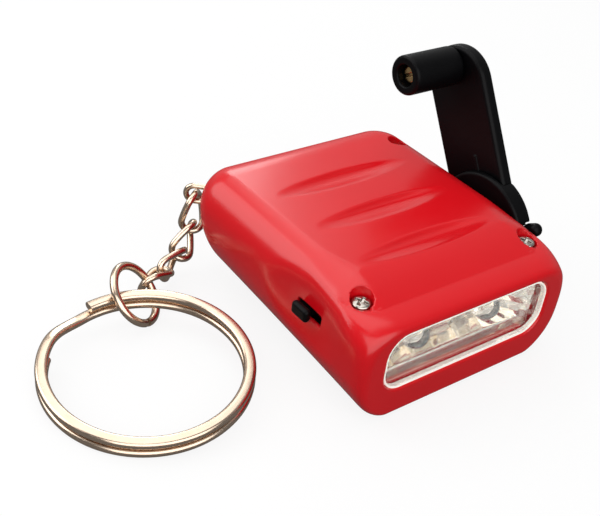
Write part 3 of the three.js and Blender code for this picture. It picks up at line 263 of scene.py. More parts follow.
nylon = plain("white_moulded_nylon", ("#E9E5D8", "#DED9C8"), (0.45, 0.6), 4, 0.2, 0.006)
board = plain("green_solder_mask", ("#1F6A3C", "#17552F"), (0.3, 0.45), 5, 0.3, 0.006)
epoxy_black = plain("black_moulded_epoxy", ("#1B1B1D", "#262628"), (0.45, 0.6), 1, 0.1, 0.005)
sleeve = plain("blue_shrink_sleeve", ("#1E3360", "#2A4176"), (0.25, 0.38), 2, 0.5, 0.01)
inner_black = plain("black_inner_moulding", ("#17171A", "#202024"), (0.5, 0.65), 4, 0.25, 0.008)
finish_of = {
    "main_board": board, "lamp_board": board, "capacitor": sleeve, "cell_cradle": inner_black,
    "rotor_bracket": inner_black, "coil_winding": copper, "rotor_magnet": ferrite,
    "stator_core": blackened, "rotor_shaft": blackened, "idler_pin_1": blackened,
    "idler_pin_2": blackened, "crank_axle": blackened, "switch_body": zinc, "contact_left": zinc,
    "contact_right": zinc, "coil_bobbin": nylon, "drive_gear": nylon, "idler_gear_1": nylon,
    "idler_gear_2": nylon, "rotor_pinion": nylon, "gear_plate": nylon,
}
finish_of.update({f"diode_{i}": epoxy_black for i in range(1, 5)})
finish_of.update({f"cell_{i}": zinc for i in range(1, 4)})
for name, material in finish_of.items():
    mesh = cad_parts[name].data
    mesh.materials.clear()
    mesh.materials.append(material)
print("finished", len(finish_of), "inner pieces")

# %% [markdown]
# Moulded plastic has no sharp edge: each corner is rounded by the mould. Modelling such a body by
# bevels is slow where flutes, dishes and screw holes meet. Here each body is a distance field instead, a
# function that is negative inside and positive outside. Two fields meet in a fillet of a chosen
# radius, a grid is laid through the field, and a mesh is drawn where the sign changes. Each vertex is
# then moved on to the surface, and takes its normal from the field, so highlights run smoothly. The
# common fillets have short names, from soft to crisp.

# %% Fields that join with fillets
soft = 0.3
small = 0.2
fine = 0.1
crisp = 0.05
no_zero = 1e-9


def length2(a, b):
    return np.sqrt(a * a + b * b)


def both(a, b, fillet):
    overlap = np.clip(fillet - np.abs(a - b), 0, None) / fillet
    return np.maximum(a, b) + overlap ** 2 * fillet / 4


def either(a, b, fillet):
    return -both(-a, -b, fillet)


def without(body, tool, fillet):
    return both(body, -tool, fillet)


def bar_field(p, axis, centre, radius, low, high, fillet):
    a, b = [i for i in range(3) if i != axis]
    side = length2(p[:, a] - centre[0], p[:, b] - centre[1]) - radius
    ends = np.maximum(low - p[:, axis], p[:, axis] - high)
    return both(side, ends, fillet)


def block_field(p, low, high, radius):
    middle = (np.asarray(low) + np.asarray(high)) / 2
    half = (np.asarray(high) - np.asarray(low)) / 2 - radius
    q = np.abs(p - middle) - half
    outside = np.sqrt((np.clip(q, 0, None) ** 2).sum(1))
    return outside + np.minimum(q.max(1), 0) - radius


def egg_field(p, centre, radii):
    q = (p - np.asarray(centre)) / radii
    near = np.sqrt((q * q).sum(1))
    steep = np.sqrt(((q / radii) ** 2).sum(1)) + no_zero
    return near * (near - 1) / steep


print("bars, blocks and eggs can be joined and cut, with fillets of", soft, small, fine, crisp, "mm")

# %% [markdown]
# A field's slope points straight out of the surface. It is measured by stepping a little to both sides
# along each axis. It gives the vertex normals, and it shows the way back to the surface for a vertex that
# lies beside it.

# %% Slopes of a field
slope_step = 0.02
least_slope = 1e-6
settle_rounds = 4


def slope_at(field, points):
    slopes = np.empty_like(points)
    for axis in range(3):
        shift = np.zeros(3)
        shift[axis] = slope_step
        slopes[:, axis] = (field(points + shift) - field(points - shift)) / (2 * slope_step)
    return slopes


def settle(field, points, limit):
    for _ in range(settle_rounds):
        slopes = slope_at(field, points)
        steep = np.maximum((slopes ** 2).sum(1), least_slope)
        move = slopes * (field(points) / steep)[:, None]
        far = np.sqrt((move ** 2).sum(1))
        points = points - move * np.minimum(1, limit / np.maximum(far, no_zero))[:, None]
    return points


print("slopes are measured over", 2 * slope_step, "mm")

# %% [markdown]
# The net lies over a grid of small cubes. Each cube that the surface passes through gets one vertex, in
# the middle of the places where the surface crosses the cube's edges, and each crossed edge gets one
# four-sided face between the cubes round it. The faces are turned so that they all look outward.

# %% Net over a field
grid_parts = 8
round_an_edge = ((0, 0), (-1, 0), (-1, -1), (0, -1))


def net(field, low, high, cell):
    low = np.asarray(low, float)
    counts = np.ceil((np.asarray(high) - low) / cell).astype(int) + 1
    axes = [low[i] + cell * np.arange(counts[i]) for i in range(3)]
    grid = np.stack(np.meshgrid(*axes, indexing="ij"), -1).reshape(-1, 3)
    values = np.concatenate([field(part) for part in np.array_split(grid, grid_parts)]).reshape(counts)
    total = np.zeros((values.size, 3))
    hits = np.zeros(values.size)
    sheets = []
    for axis in range(3):
        first = np.take(values, range(counts[axis] - 1), axis)
        second = np.take(values, range(1, counts[axis]), axis)
        crossed = (first < 0) != (second < 0)
        start = np.argwhere(crossed)
        near, far = first[crossed], second[crossed]
        place = start.astype(float)
        place[:, axis] += near / (near - far)
        u, v = (axis + 1) % 3, (axis + 2) % 3
        corners = []
        for du, dv in round_an_edge:
            around = start.copy()
            around[:, u] += du
            around[:, v] += dv
            index = np.ravel_multi_index(around.T, counts)
            hits += np.bincount(index, minlength=values.size)
            for k in range(3):
                total[:, k] += np.bincount(index, place[:, k], values.size)
            corners.append(index)
        quads = np.stack(corners, 1)
        quads[near >= 0] = quads[near >= 0][:, ::-1]
        sheets.append(quads)
    used = hits > 0
    number = np.cumsum(used) - 1
    points = low + cell * total[used] / hits[used, None]
    points = settle(field, points, cell / 2)
    return points, number[np.concatenate(sheets)]


# %% [markdown]
# Each piece rides on one of the model's bodies, so that it moves with its joint, and names its material
# and the imported nodes that it stands in for.

# %% Add a piece


def add_piece(name, mesh, body, material, replaced):
    piece = bpy.data.objects.new(name, mesh)
    bpy.context.collection.objects.link(piece)
    mesh.materials.append(material)
    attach(piece, body)
    if replaced:
        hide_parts(*replaced)
    print(f"{name}: {len(mesh.polygons)} faces, rides on {body}")
    return piece


def smooth_mesh(name, points, faces, normals=None):
    mesh = bpy.data.meshes.new(name)
    mesh.from_pydata((points * mm).tolist(), [], faces if isinstance(faces, list) else faces.tolist())
    mesh.polygons.foreach_set("use_smooth", [True] * len(mesh.polygons))
    if normals is not None:
        mesh.normals_split_custom_set_from_vertices(normals.tolist())
    return mesh


def unit(vectors):
    return vectors / np.maximum(np.sqrt((vectors ** 2).sum(-1, keepdims=True)), no_zero)


def field_mesh(name, field, low, high, cell, turn=None, offset=(0, 0, 0)):
    points, faces = net(field, low, high, cell)
    normals = unit(slope_at(field, points))
    if turn is not None:
        points = points @ turn.T
        normals = normals @ turn.T
    return smooth_mesh(name, points + np.asarray(offset), faces, normals)


print("the packed model has", len(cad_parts), "nodes to stand in for")

# %% [markdown]
# The case is a loaf with a broad flat underside. Seen from the side, a nose leans over the window, a
# short slope climbs to the top, and the back swells down to the table. The sides meet the top in a
# soft crease, which shows as a bright line and widens until it is lost in the brow over the window.

# %% Sizes of the case, in millimetres
case_half_width = top_high[0]
case_back = top_high[1]
case_height = top_high[2]
case_wall = 1.8
face_y = case_low[1]
nose_y = -31.0
nose_radius = 9.5
nose_z = 10.4
slope_start = -17.4
front_bottom_radius = 7.0
back_bottom_radius = 17.0
side_bottom_front = 9.0
side_bottom_back = 15.5
side_top_radius = 8.0
side_top_crease = 0.84
back_top_radius = 5.3
back_corner_radius = 6.9
front_corner_radius = 7.5
least_radius = 1.5
split_z = top_low[2]
crease_fillet = 1.5
brow_fillet = 4.2
brow_starts_y = -5.0
brow_full_y = -16.0
face_fillet = 1.3
print("case", 2 * case_half_width, "wide,", case_height, "high, face at", face_y)

# %% [markdown]
# Each height of the case has its outline, a rectangle with rounded corners that is drawn in near the
# bottom and the top. The field measures how far a point lies from the outline at its own height. An
# inset gives the same shape smaller, for the hollow inside.

# %% Outline of the case at each height


def drawn_in(height, radius):
    short = np.clip(radius - height, 0, radius)
    return radius - np.sqrt(np.maximum(radius ** 2 - short ** 2, 0))


def front_of(z, inset):
    radius = nose_radius - inset
    nose_top = nose_z + radius
    low = nose_y + inset + drawn_in(z - inset, front_bottom_radius - inset)
    high = nose_y + inset + drawn_in(nose_top - z, radius)
    share = (z - nose_top) / (case_height - inset - nose_top)
    slope = nose_y + nose_radius + (slope_start - nose_y - nose_radius) * share
    return np.where(z <= nose_z, low, np.where(z <= nose_top, high, slope))


def loaf_field(p, inset=0.0):
    x, y = np.abs(p[:, 0]), p[:, 1]
    z = np.clip(p[:, 2], inset, case_height - inset)
    below = z - inset
    above = case_height - inset - z
    top_in = drawn_in(above + side_top_crease, side_top_radius - inset)
    back_top_in = drawn_in(above, back_top_radius - inset)
    side_front = np.maximum(drawn_in(below, side_bottom_front - inset), top_in)
    side_back = np.maximum(drawn_in(below, side_bottom_back - inset), top_in)
    back_in = np.maximum(drawn_in(below, back_bottom_radius - inset), back_top_in)
    back_y = case_back - inset - back_in
    front_y = front_of(z, inset)
    share = np.clip((y - front_y) / (back_y - front_y), 0, 1)
    half = case_half_width - inset - side_front - (side_back - side_front) * share
    back_radius = np.maximum(back_corner_radius - inset - np.minimum(side_back, back_in), least_radius)
    front_radius = np.maximum(front_corner_radius - inset - side_front, least_radius)
    radius = np.where(share > 0.5, back_radius, front_radius)
    across = x - half
    along = np.maximum(y - back_y, front_y - y)
    corner = length2(np.clip(across + radius, 0, None), np.clip(along + radius, 0, None)) - radius
    outline = np.where((across > -radius) & (along > -radius), corner, np.maximum(across, along))
    outline = np.maximum(outline, inset - p[:, 2])
    brow_share = np.clip((brow_starts_y - y) / (brow_starts_y - brow_full_y), 0, 1)
    brow_share = brow_share * brow_share * (3 - 2 * brow_share)
    fillet = crease_fillet + (brow_fillet - crease_fillet) * brow_share
    return both(outline, p[:, 2] - (case_height - inset), fillet)


print("the nose reaches", nose_y, "and its slope starts at", nose_z + nose_radius, "mm height")

# %% [markdown]
# Cuts are made as the mould makes them. The top has three finger flutes, the left side has a shallow
# dish round the switch, and three deep wells take the case screws, each on a boss of its own. The screws'
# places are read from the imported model.

# %% Sizes of flutes, dish and screw wells
flute_places = (-12.4, -0.8, 10.8)
flute_half_length = 13.6
flute_half_width = 2.35
flute_depth = 0.85
flute_lean = 1.1
flute_fillet = 0.4
dimple_share = 3.0
dish_half_length = 7.8
dish_half_height = 6.8
dish_depth = 1.2
dish_fillet = 1.8
screw_boxes = [box_mm(f"case_screw_{i}") for i in (1, 2, 3)]
screw_places = [((low[0] + high[0]) / 2, (low[1] + high[1]) / 2) for low, high in screw_boxes]
screw_top = screw_boxes[0][1][2]
screw_well_radius = 1.98
screw_well_fillet = 0.18
screw_head_radius = 1.72
screw_head_height = 1.3
screw_length = 15.0
shank_radius = 0.9
boss_radius = 3.1
print("screws at", np.round(screw_places, 1).tolist(), "under", round(screw_top, 2), "mm height")

# %% [markdown]
# The crank turns in a round seat, with its stem through the wall and a long boss round the stem inside.
# The window is a rounded opening in the front, with a step behind it for the flange and a ledge along
# its foot. The switch's stem runs in a slot. Pieces that move or fit together are the same gap apart.

# %% Sizes of seat, window and slot
gap = 0.3
crank_axle_radius = 1.0
hub_y, hub_z = box_mm("crank_axle")[0][1] + crank_axle_radius, split_z
disc_radius = 10.6
disc_seat = 0.8
stem_radius = 3.0
crank_boss_radius = 5.1
crank_boss_length = 7.0
window_half_width = 19.0
window_low = 5.6
window_high = case_height - 5.4
window_radius = 4.3
ledge_depth = 1.2
ledge_above_rim = 0.2
ledge_end_gap = 2.0
face_wall = 1.2
window_step_depth = 1.1
window_edge_fillet = 0.45
slider_low, slider_high = box_mm("switch_slider")
stem_back = 2.3
switch_y = slider_high[1] - stem_back
switch_z = (slider_low[2] + slider_high[2]) / 2
switch_travel = 2.8
slot_stem_half_height = 0.75
slot_stem_length = 3.0
print("hub at", round(hub_y, 1), round(hub_z, 1), "and switch at", round(switch_y, 1), round(switch_z, 1))

# %% [markdown]
# A dimple is the cap of a large egg that only just dips into the surface. Its two half lengths and its
# depth are what is seen, and the egg's radii and its lift above the surface follow from them.

# %% Dimples and the window's outline


def dimple_radii(half_a, half_b, depth):
    reach = depth * dimple_share
    lift = reach - depth
    spread = math.sqrt(1 - (lift / reach) ** 2)
    return half_a / spread, half_b / spread, reach, lift


def window_field(p, grow, low_y, high_y, fillet):
    middle = (window_low + window_high) / 2
    half_z = (window_high - window_low) / 2 + grow
    radius = window_radius + grow
    a = np.abs(p[:, 0]) - (window_half_width + grow - radius)
    b = np.abs(p[:, 2] - middle) - (half_z - radius)
    outline = length2(np.clip(a, 0, None), np.clip(b, 0, None)) + np.minimum(np.maximum(a, b), 0) - radius
    ends = np.maximum(low_y - p[:, 1], p[:, 1] - high_y)
    return both(outline, ends, fillet)


print("flute radii", np.round(dimple_radii(flute_half_length, flute_half_width, flute_depth), 1).tolist())

# %% [markdown]
# The hollow is the loaf again, smaller by the wall, with the bosses and the ledge kept out of it. A solid
# block would look the same from outside, but the shells can be lifted off, and then their walls show.

# %% Hollow of the case


def hollow_field(p):
    hollow = np.maximum(loaf_field(p, case_wall), face_y + face_wall - p[:, 1])
    for x, y in screw_places:
        hollow = np.maximum(hollow, boss_radius - length2(p[:, 0] - x, p[:, 1] - y))
    crank_boss = np.maximum(length2(p[:, 1] - hub_y, p[:, 2] - hub_z) - crank_boss_radius,
                            case_half_width - case_wall - crank_boss_length - p[:, 0])
    hollow = np.maximum(hollow, -crank_boss)
    ledge_back = face_y + face_wall + window_step_depth + ledge_depth
    ledge = np.maximum(np.abs(p[:, 0]) - window_half_width + ledge_end_gap, p[:, 1] - ledge_back)
    ledge = np.maximum(ledge, p[:, 2] - window_low - ledge_above_rim)
    return np.maximum(hollow, -ledge)


print("the hollow leaves a wall of", case_wall, "mm")

# %% [markdown]
# The cuts are taken from the loaf one by one, each with a fillet of its own, because a soft edge catches
# light where a sharp one would not. Each flute leans: its back wall is steep and its front fades out, so
# that a finger pulls against it.

# %% Cuts of the case


def case_field(p):
    body = both(loaf_field(p), face_y - p[:, 1], face_fillet)
    a, b, reach, lift = dimple_radii(flute_half_length, flute_half_width, flute_depth)
    leaned = p.copy()
    leaned[:, 1] -= flute_lean * np.clip(case_height - p[:, 2], 0, flute_depth)
    for y in flute_places:
        flute = egg_field(leaned, (0, y, case_height + lift), np.array([a, b, reach]))
        body = without(body, flute, flute_fillet)
    a, b, reach, lift = dimple_radii(dish_half_length, dish_half_height, dish_depth)
    dish_centre = (-case_half_width - lift, switch_y, switch_z + slot_stem_half_height)
    body = without(body, egg_field(p, dish_centre, np.array([reach, a, b])), dish_fillet)
    body = without(body, hollow_field(p), 0.4)
    body = without(body, window_field(p, 0, face_y - 9, face_y + 9, soft), window_edge_fillet)
    step_back = face_y + face_wall + window_step_depth
    body = without(body, window_field(p, 2 * gap, face_y + face_wall, step_back, soft), soft)
    for x, y in screw_places:
        well_floor = screw_top - screw_head_height - gap
        well = bar_field(p, 2, (x, y), screw_well_radius, well_floor, beyond, soft)
        body = without(body, well, screw_well_fillet)
        shank = bar_field(p, 2, (x, y), shank_radius + gap, screw_top - screw_length - gap, beyond, soft)
        body = without(body, shank, soft)
    seat_floor = case_half_width - disc_seat
    seat = bar_field(p, 0, (hub_y, hub_z), disc_radius + gap, seat_floor, beyond, soft)
    body = without(body, seat, 0.5)
    stem = bar_field(p, 0, (hub_y, hub_z), stem_radius + gap, 0, beyond, soft)
    body = without(body, stem, soft)
    slot_back = switch_y + stem_back + gap
    slot_front = slot_back - slot_stem_length - switch_travel - 2 * gap
    slot_low = (-beyond, slot_front, switch_z - slot_stem_half_height - gap)
    slot_high = (-case_half_width + case_wall + 1, slot_back, switch_z + slot_stem_half_height + gap)
    return without(body, block_field(p, slot_low, slot_high, soft), 0.35)


print("cuts:", len(flute_places), "flutes,", len(screw_places), "wells, dish, window, seat and slot")

# %% [markdown]
# The two shells come from one field, cut along the parting plane, so that their outsides run on across
# the joint as they do on a well closed case. Flat faces fill the cut walls of each.

# %% Mesh the case and part it
case_cell = 0.36
case_margin = 1.5
same_place = 1e-7
case_net_low = np.array([-case_half_width, face_y, 0]) - case_margin
case_net_high = np.array([case_half_width, case_back, case_height]) + case_margin
case_points, case_faces = net(case_field, case_net_low, case_net_high, case_cell)
print("case net:", len(case_points), "points,", len(case_faces), "faces")


def half_case(name, keep_above, node_name):
    mesh = smooth_mesh(name, case_points, case_faces)
    work = bmesh.new()
    work.from_mesh(mesh)
    everything = work.verts[:] + work.edges[:] + work.faces[:]
    cut = bmesh.ops.bisect_plane(work, geom=everything, dist=same_place, plane_co=(0, 0, split_z * mm),
                                 plane_no=(0, 0, 1), clear_inner=keep_above, clear_outer=not keep_above)
    rim = [e for e in cut["geom_cut"] if isinstance(e, bmesh.types.BMEdge) and e.is_boundary]
    caps = bmesh.ops.triangle_fill(work, use_beauty=True, use_dissolve=False, edges=rim)
    for face in caps["geom"]:
        if isinstance(face, bmesh.types.BMFace):
            face.smooth = False
    bmesh.ops.recalc_face_normals(work, faces=work.faces)
    work.to_mesh(mesh)
    work.free()
    places = np.empty(len(mesh.vertices) * 3)
    mesh.vertices.foreach_get("co", places)
    normals = unit(slope_at(case_field, places.reshape(-1, 3) / mm))
    mesh.normals_split_custom_set_from_vertices(normals.tolist())
    return add_piece(name, mesh, "case", red_plastic, [node_name])


half_case("case_upper_half", True, "top_shell")
half_case("case_lower_half", False, "bottom_shell")

# %% [markdown]
# The crank is drawn with its arm along +Y from the hub and then turned up to the angle it has in the
# picture. It is a turntable with two cheeks, an arm hinged between them on a cross pin, and a tube
# shaped knob that spins on a stud at the arm's end, kept on by a brass screw down its bore. Booleans of
# cylinders and boxes would give the shapes, but not the fillets of a moulding, so each is a field too.

# %% Crank sizes, in millimetres
crank_angle = math.radians(58.2)
disc_thickness = 1.2
cheek_height = 2.6
disc_inner = case_half_width - disc_seat + gap
disc_outer = disc_inner + disc_thickness
arm_inner = disc_outer + gap
arm_thickness = 2.8
arm_outer = arm_inner + arm_thickness
arm_middle = (arm_inner + arm_outer) / 2
cheek_outer = disc_outer + cheek_height
arm_half_width = 7.35
arm_reach = 31.2
knob_radius = 3.79
knob_length = 12.0
hinge_setback = 2.0
pin_radius = 0.8
pin_gap = 0.25
pin_head_radius = 1.3
pin_head_proud = 2.8
pin_centre = (arm_middle, -hinge_setback)
stud_radius = 1.5
knob_place = (arm_reach, 0)
cheek_half_span = math.sqrt(disc_radius ** 2 - hinge_setback ** 2)
knob_open = arm_inner - gap - knob_length
screw_sunk = 1.3
stud_sunk = 1.3
screw_head_x = knob_open + screw_sunk
stud_end = screw_head_x + stud_sunk
print("arm", arm_reach, "mm from hub to knob, turned up", round(math.degrees(crank_angle), 1), "degrees")

# %% [markdown]
# The turntable lies in its round seat. A flat slot runs across it for the arm, and the two cheeks that are
# left beside the slot hold the cross pin. A hollow stem carries the turntable's turning to the gears. The
# pin is a plain rod with one domed head, which stands proud of the upper cheek.

# %% Turntable and cross pin
slot_half_width = arm_half_width + gap
crank_stem_length = 9.8
stem_end = case_half_width - crank_stem_length
axle_hole_radius = 1.25
pin_head_seat = 1.2
pin_head_starts = 0.9


def disc_field(p):
    body = bar_field(p, 0, (0, 0), disc_radius, disc_inner, cheek_outer, 0.7)
    slot_low = (disc_outer, -beyond, -slot_half_width)
    slot_high = (beyond, beyond, slot_half_width)
    body = without(body, block_field(p, slot_low, slot_high, small), 0.35)
    stem = bar_field(p, 0, (0, 0), stem_radius, stem_end, disc_inner + 1, soft)
    body = either(body, stem, soft)
    pin = length2(p[:, 0] - arm_middle, p[:, 1] + hinge_setback) - pin_radius - pin_gap
    body = without(body, pin, soft)
    head_radius = pin_head_radius + pin_gap
    head = bar_field(p, 2, pin_centre, head_radius, cheek_half_span - pin_head_seat, beyond, small)
    body = without(body, head, soft)
    axle = bar_field(p, 0, (0, 0), axle_hole_radius, 0, disc_inner, small)
    return without(body, axle, soft)


def pin_field(p):
    head_end = cheek_half_span + pin_head_proud
    shank = bar_field(p, 2, pin_centre, pin_radius, gap - cheek_half_span, cheek_half_span, soft)
    head = bar_field(p, 2, pin_centre, pin_head_radius, cheek_half_span - pin_head_starts, head_end, 1.2)
    return either(shank, head, soft)


print("turntable", 2 * disc_radius, "across, its cheeks", cheek_height, "mm high")

# %% [markdown]
# The arm is a flat plate with a round end and a knuckle round the cross pin. A stud stands on it for the
# knob, and a small ridge runs along its inner face.

# %% Folding arm
arm_tip = arm_reach + knob_radius - arm_half_width
knuckle_radius = arm_thickness / 2
screw_hole_radius = 0.85
screw_hole_end = screw_head_x + 4.8
ridge_low = (arm_inner - 0.22, 7.6, 1.1)
ridge_high = (arm_inner + 1, 13.4, 1.8)


def arm_field(p):
    x, y, z = p[:, 0], p[:, 1], p[:, 2]
    round_end = length2(y - arm_tip, z) - arm_half_width
    plate = np.where(y > arm_tip, round_end, np.abs(z) - arm_half_width)
    plate = np.maximum(plate, -hinge_setback - y)
    body = both(plate, np.abs(x - arm_middle) - arm_thickness / 2, 0.9)
    knuckle = bar_field(p, 2, pin_centre, knuckle_radius, -arm_half_width, arm_half_width, 0.5)
    body = either(body, knuckle, small)
    body = either(body, block_field(p, ridge_low, ridge_high, small), 0.25)
    stud = bar_field(p, 0, knob_place, stud_radius, stud_end, arm_inner + 1, soft)
    body = either(body, stud, 0.6)
    pin = length2(x - arm_middle, y + hinge_setback) - pin_radius - pin_gap
    body = without(body, pin, small)
    hole = bar_field(p, 0, knob_place, screw_hole_radius, knob_open, screw_hole_end, small)
    return without(body, hole, small)


print("arm", arm_thickness, "mm thick, with a stud", 2 * stud_radius, "mm across")

# %% [markdown]
# The knob is a tube that turns on the stud. A brass screw with a slotted head sits down its bore and
# keeps it on. The screw's thread is a wave that runs round the shank and along it.

# %% Knob and its screw
bore_wide_radius = 2.05
brass_head_radius = 1.7
brass_head_height = 1.0
brass_head_end = screw_head_x + brass_head_height
brass_pitch = 0.5
brass_thread = 0.08
brass_core = 0.55
brass_length = 4.4
brass_slot_half_width = 0.28
brass_slot_half_length = 9


def knob_field(p):
    body = bar_field(p, 0, knob_place, knob_radius, knob_open, arm_inner - gap, 0.7)
    bore = bar_field(p, 0, knob_place, stud_radius + gap, -beyond, beyond, small)
    wide = bar_field(p, 0, knob_place, bore_wide_radius, -beyond, stud_end, small)
    return without(body, either(bore, wide, small), 0.5)


def brass_screw_field(p):
    x, y, z = p[:, 0], p[:, 1], p[:, 2]
    head = bar_field(p, 0, knob_place, brass_head_radius, screw_head_x, brass_head_end, 0.5)
    along = (x - screw_head_x) / brass_pitch
    thread = brass_thread * np.sin(2 * math.pi * along - np.arctan2(z, y - arm_reach))
    core = length2(y - arm_reach, z) - brass_core - thread
    shank = np.maximum(core, x - screw_head_x - brass_length)
    shank = np.maximum(shank, screw_head_x + 0.6 - x)
    slot_low = (-beyond, arm_reach - brass_slot_half_width, -brass_slot_half_length)
    slot_high = (screw_head_x + 0.5, arm_reach + brass_slot_half_width, brass_slot_half_length)
    return without(either(head, shank, small), block_field(p, slot_low, slot_high, crisp), 0.15)


print("knob", 2 * knob_radius, "across and", knob_length, "mm long")

# %% [markdown]
# All five pieces are drawn with the arm along +Y, turned up together about the hub and ridden on the
# turntable's, the arm's or the knob's body. Each row of the table gives the two corners between which
# the net is laid, with a little room round the piece, and the size of the net's cubes.

# %% Mesh the crank
hub = (0, hub_y, hub_z)
crank_turn = np.array([
    [1, 0, 0],
    [0, math.cos(crank_angle), -math.sin(crank_angle)],
    [0, math.sin(crank_angle), math.cos(crank_angle)],
])
reach_end = arm_reach + knob_radius + 1.5
crank_pieces = (
    ("crank_turntable", disc_field, (case_half_width - 11, -12, -12), (cheek_outer + 1, 12, 12), 0.3,
     "crank", "crank_disc"),
    ("crank_cross_pin", pin_field, (arm_middle - 2.5, -4.5, -12), (arm_middle + 2.5, 0.5, 15), 0.2,
     "crank", "hinge_pin"),
    ("crank_folding_arm", arm_field, (knob_open - 1, -5, -9), (arm_outer + 1, reach_end, 9), 0.3,
     "crank_arm", "crank_arm"),
    ("crank_knob_tube", knob_field, (knob_open - 1, arm_reach - 5.5, -5.5),
     (arm_inner + 1, arm_reach + 5.5, 5.5), 0.25, "crank_knob", "crank_knob"),
    ("crank_knob_screw", brass_screw_field, (screw_head_x - 0.6, arm_reach - 2.8, -2.8),
     (screw_head_x + 5.8, arm_reach + 2.8, 2.8), 0.12, "crank_arm", "knob_screw"),
)
for name, field, low, high, cell, body, node_name in crank_pieces:
    mesh = field_mesh(name, field, low, high, cell, crank_turn, hub)
    slot, material = ("screw_brass", brass) if node_name == "knob_screw" else ("crank_black", black_plastic)
    add_piece(name, mesh, body, material, [node_name])

# %% [markdown]
# The slide switch has a small rounded knob, on a stem through the slot in the case. The knob stands out
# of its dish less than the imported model's does, as the real one is hardly proud of the case.

# %% Switch knob
slider_length = 4.2
slider_height = 2.5
slider_lift = 0.35
slider_fillet = 0.7
slider_sunk = 0.7
slider_skirt = 0.65
slider_outer = slider_low[0] + slider_sunk
slider_inner = -case_half_width + dish_depth - slider_skirt
slider_margin = 0.8
slider_cell = 0.17


def slider_field(p):
    knob_z = switch_z + slider_lift
    front_end = switch_y - slider_length / 2
    back_end = switch_y + slider_length / 2
    knob_low = (slider_outer, front_end, knob_z - slider_height / 2)
    knob_high = (slider_inner, back_end, knob_z + slider_height / 2)
    stem_low = (slider_inner - 0.5, back_end - slot_stem_length, switch_z - slot_stem_half_height)
    stem_high = (slider_high[0], back_end, switch_z + slot_stem_half_height)
    knob = block_field(p, knob_low, knob_high, slider_fillet)
    return either(knob, block_field(p, stem_low, stem_high, small), small)


slider_mesh = field_mesh("switch_knob", slider_field, slider_low - slider_margin,
                         slider_high + slider_margin, slider_cell)
add_piece("switch_knob", slider_mesh, "switch", black_plastic, ["switch_slider"])

# %% [markdown]
# Three self-tapping screws hold the case. Each has a low domed head with a crossed recess, and a
# thread of about a millimetre pitch on its shank. The thread could be a profile swept along a helix. A
# wave that climbs round the shank is simpler, and joins it in one mesh. One mesh serves all three.

# %% Case screws
head_dome = 0.12
thread_pitch = 1.1
thread_depth = 0.14
thread_core = 0.72
recess_depth = 0.85
recess_slope = 0.35
recess_half_width = 0.27
recess_half_length = 1.15
recess_slant = 0.45
screw_cell = 0.15


def case_screw_field(p):
    x, y, z = p[:, 0], p[:, 1], p[:, 2]
    radial = length2(x, y)
    dome = screw_top - radial ** 2 * head_dome
    head = np.maximum(z - dome, screw_top - screw_head_height - z)
    head = both(radial - screw_head_radius, head, 0.35)
    thread = thread_depth * np.sin(2 * math.pi * z / thread_pitch - np.arctan2(y, x))
    shank = np.maximum(radial - thread_core - thread, z - (screw_top - 1.0))
    shank = np.maximum(shank, screw_top - screw_length - z)
    body = either(head, shank, soft)
    turned_x = (x + y * recess_slant) / math.hypot(1, recess_slant)
    turned_y = (y - x * recess_slant) / math.hypot(1, recess_slant)
    deep = screw_top - recess_depth + radial * recess_slope
    for a, b in ((turned_x, turned_y), (turned_y, turned_x)):
        blade = np.maximum(np.abs(a) - recess_half_width, np.abs(b) - recess_half_length)
        body = without(body, np.maximum(blade, deep - z), 0.15)
    return body


screw_net_low = (-2.6, -2.6, screw_top - 15.6)
screw_net_high = (2.6, 2.6, screw_top + 0.6)
screw_points, screw_faces = net(case_screw_field, screw_net_low, screw_net_high, screw_cell)
screw_normals = unit(slope_at(case_screw_field, screw_points))
for index, (x, y) in enumerate(screw_places, 1):
    mesh = smooth_mesh(f"case_screw_head_{index}", screw_points + (x, y, 0), screw_faces, screw_normals)
    add_piece(f"case_screw_head_{index}", mesh, "case", zinc, [f"case_screw_{index}"])

# %% [markdown]
# The window is a clear bar that stands just inside its opening, with a flange behind the case wall that
# keeps it from falling out. Light runs along inside clear plastic and leaves it at the edge, so the real
# one shows a pale line all round. Here that line of light is painted: the edge is a thin strip of its
# own, with a pale finish that glows, a painted highlight and painted glow, though it is no lamp.

# %% Window
lens_low, lens_high = box_mm("lens")
rim_width = 0.22
rim_thickness = 1.15
rim_gap = 0.06
flange_thickness = 0.5
rim_cell = 0.16
window_cell = 0.3
window_margin = 0.9
rim_margin = 0.7


def lens_field(p):
    front = window_field(p, -gap - rim_width, lens_low[1], lens_high[1], small)
    behind_rim = window_field(p, -gap / 2, lens_low[1] + rim_thickness, lens_high[1], small)
    flange = window_field(p, gap, lens_high[1] - flange_thickness, lens_high[1], small)
    return either(either(front, behind_rim, crisp), flange, 0.15)


def rim_field(p):
    rim_back = lens_low[1] + rim_thickness - rim_gap
    outside = window_field(p, -gap / 2, lens_low[1], rim_back, fine)
    inside = window_field(p, -gap - rim_width + rim_gap, -beyond, beyond, fine)
    return without(outside, inside, fine)


lens_mesh = field_mesh("window_lens", lens_field, lens_low - window_margin,
                       lens_high + window_margin, window_cell)
add_piece("window_lens", lens_mesh, "case", window_clear, ["lens"])
# The rim strip only carries the window edge's painted highlight and painted glow.
rim_high = (lens_high[0] + rim_margin, lens_low[1] + rim_thickness + 0.5, lens_high[2] + rim_margin)
rim_mesh = field_mesh("window_rim_painted_glow", rim_field, lens_low - rim_margin, rim_high, rim_cell)
add_piece("window_rim_painted_glow", rim_mesh, "case", painted_glow_edge, ["lens"])

# %% [markdown]
# Behind the window is a moulded tray with a mirror skin, laid on as metal vapour in a vacuum. Its walls
# slope in to the lamps, so the window shows the lamps several times over, and its end walls are folded
# into small facets. The top wall and the foot are cut back behind the window, where red plastic shows.

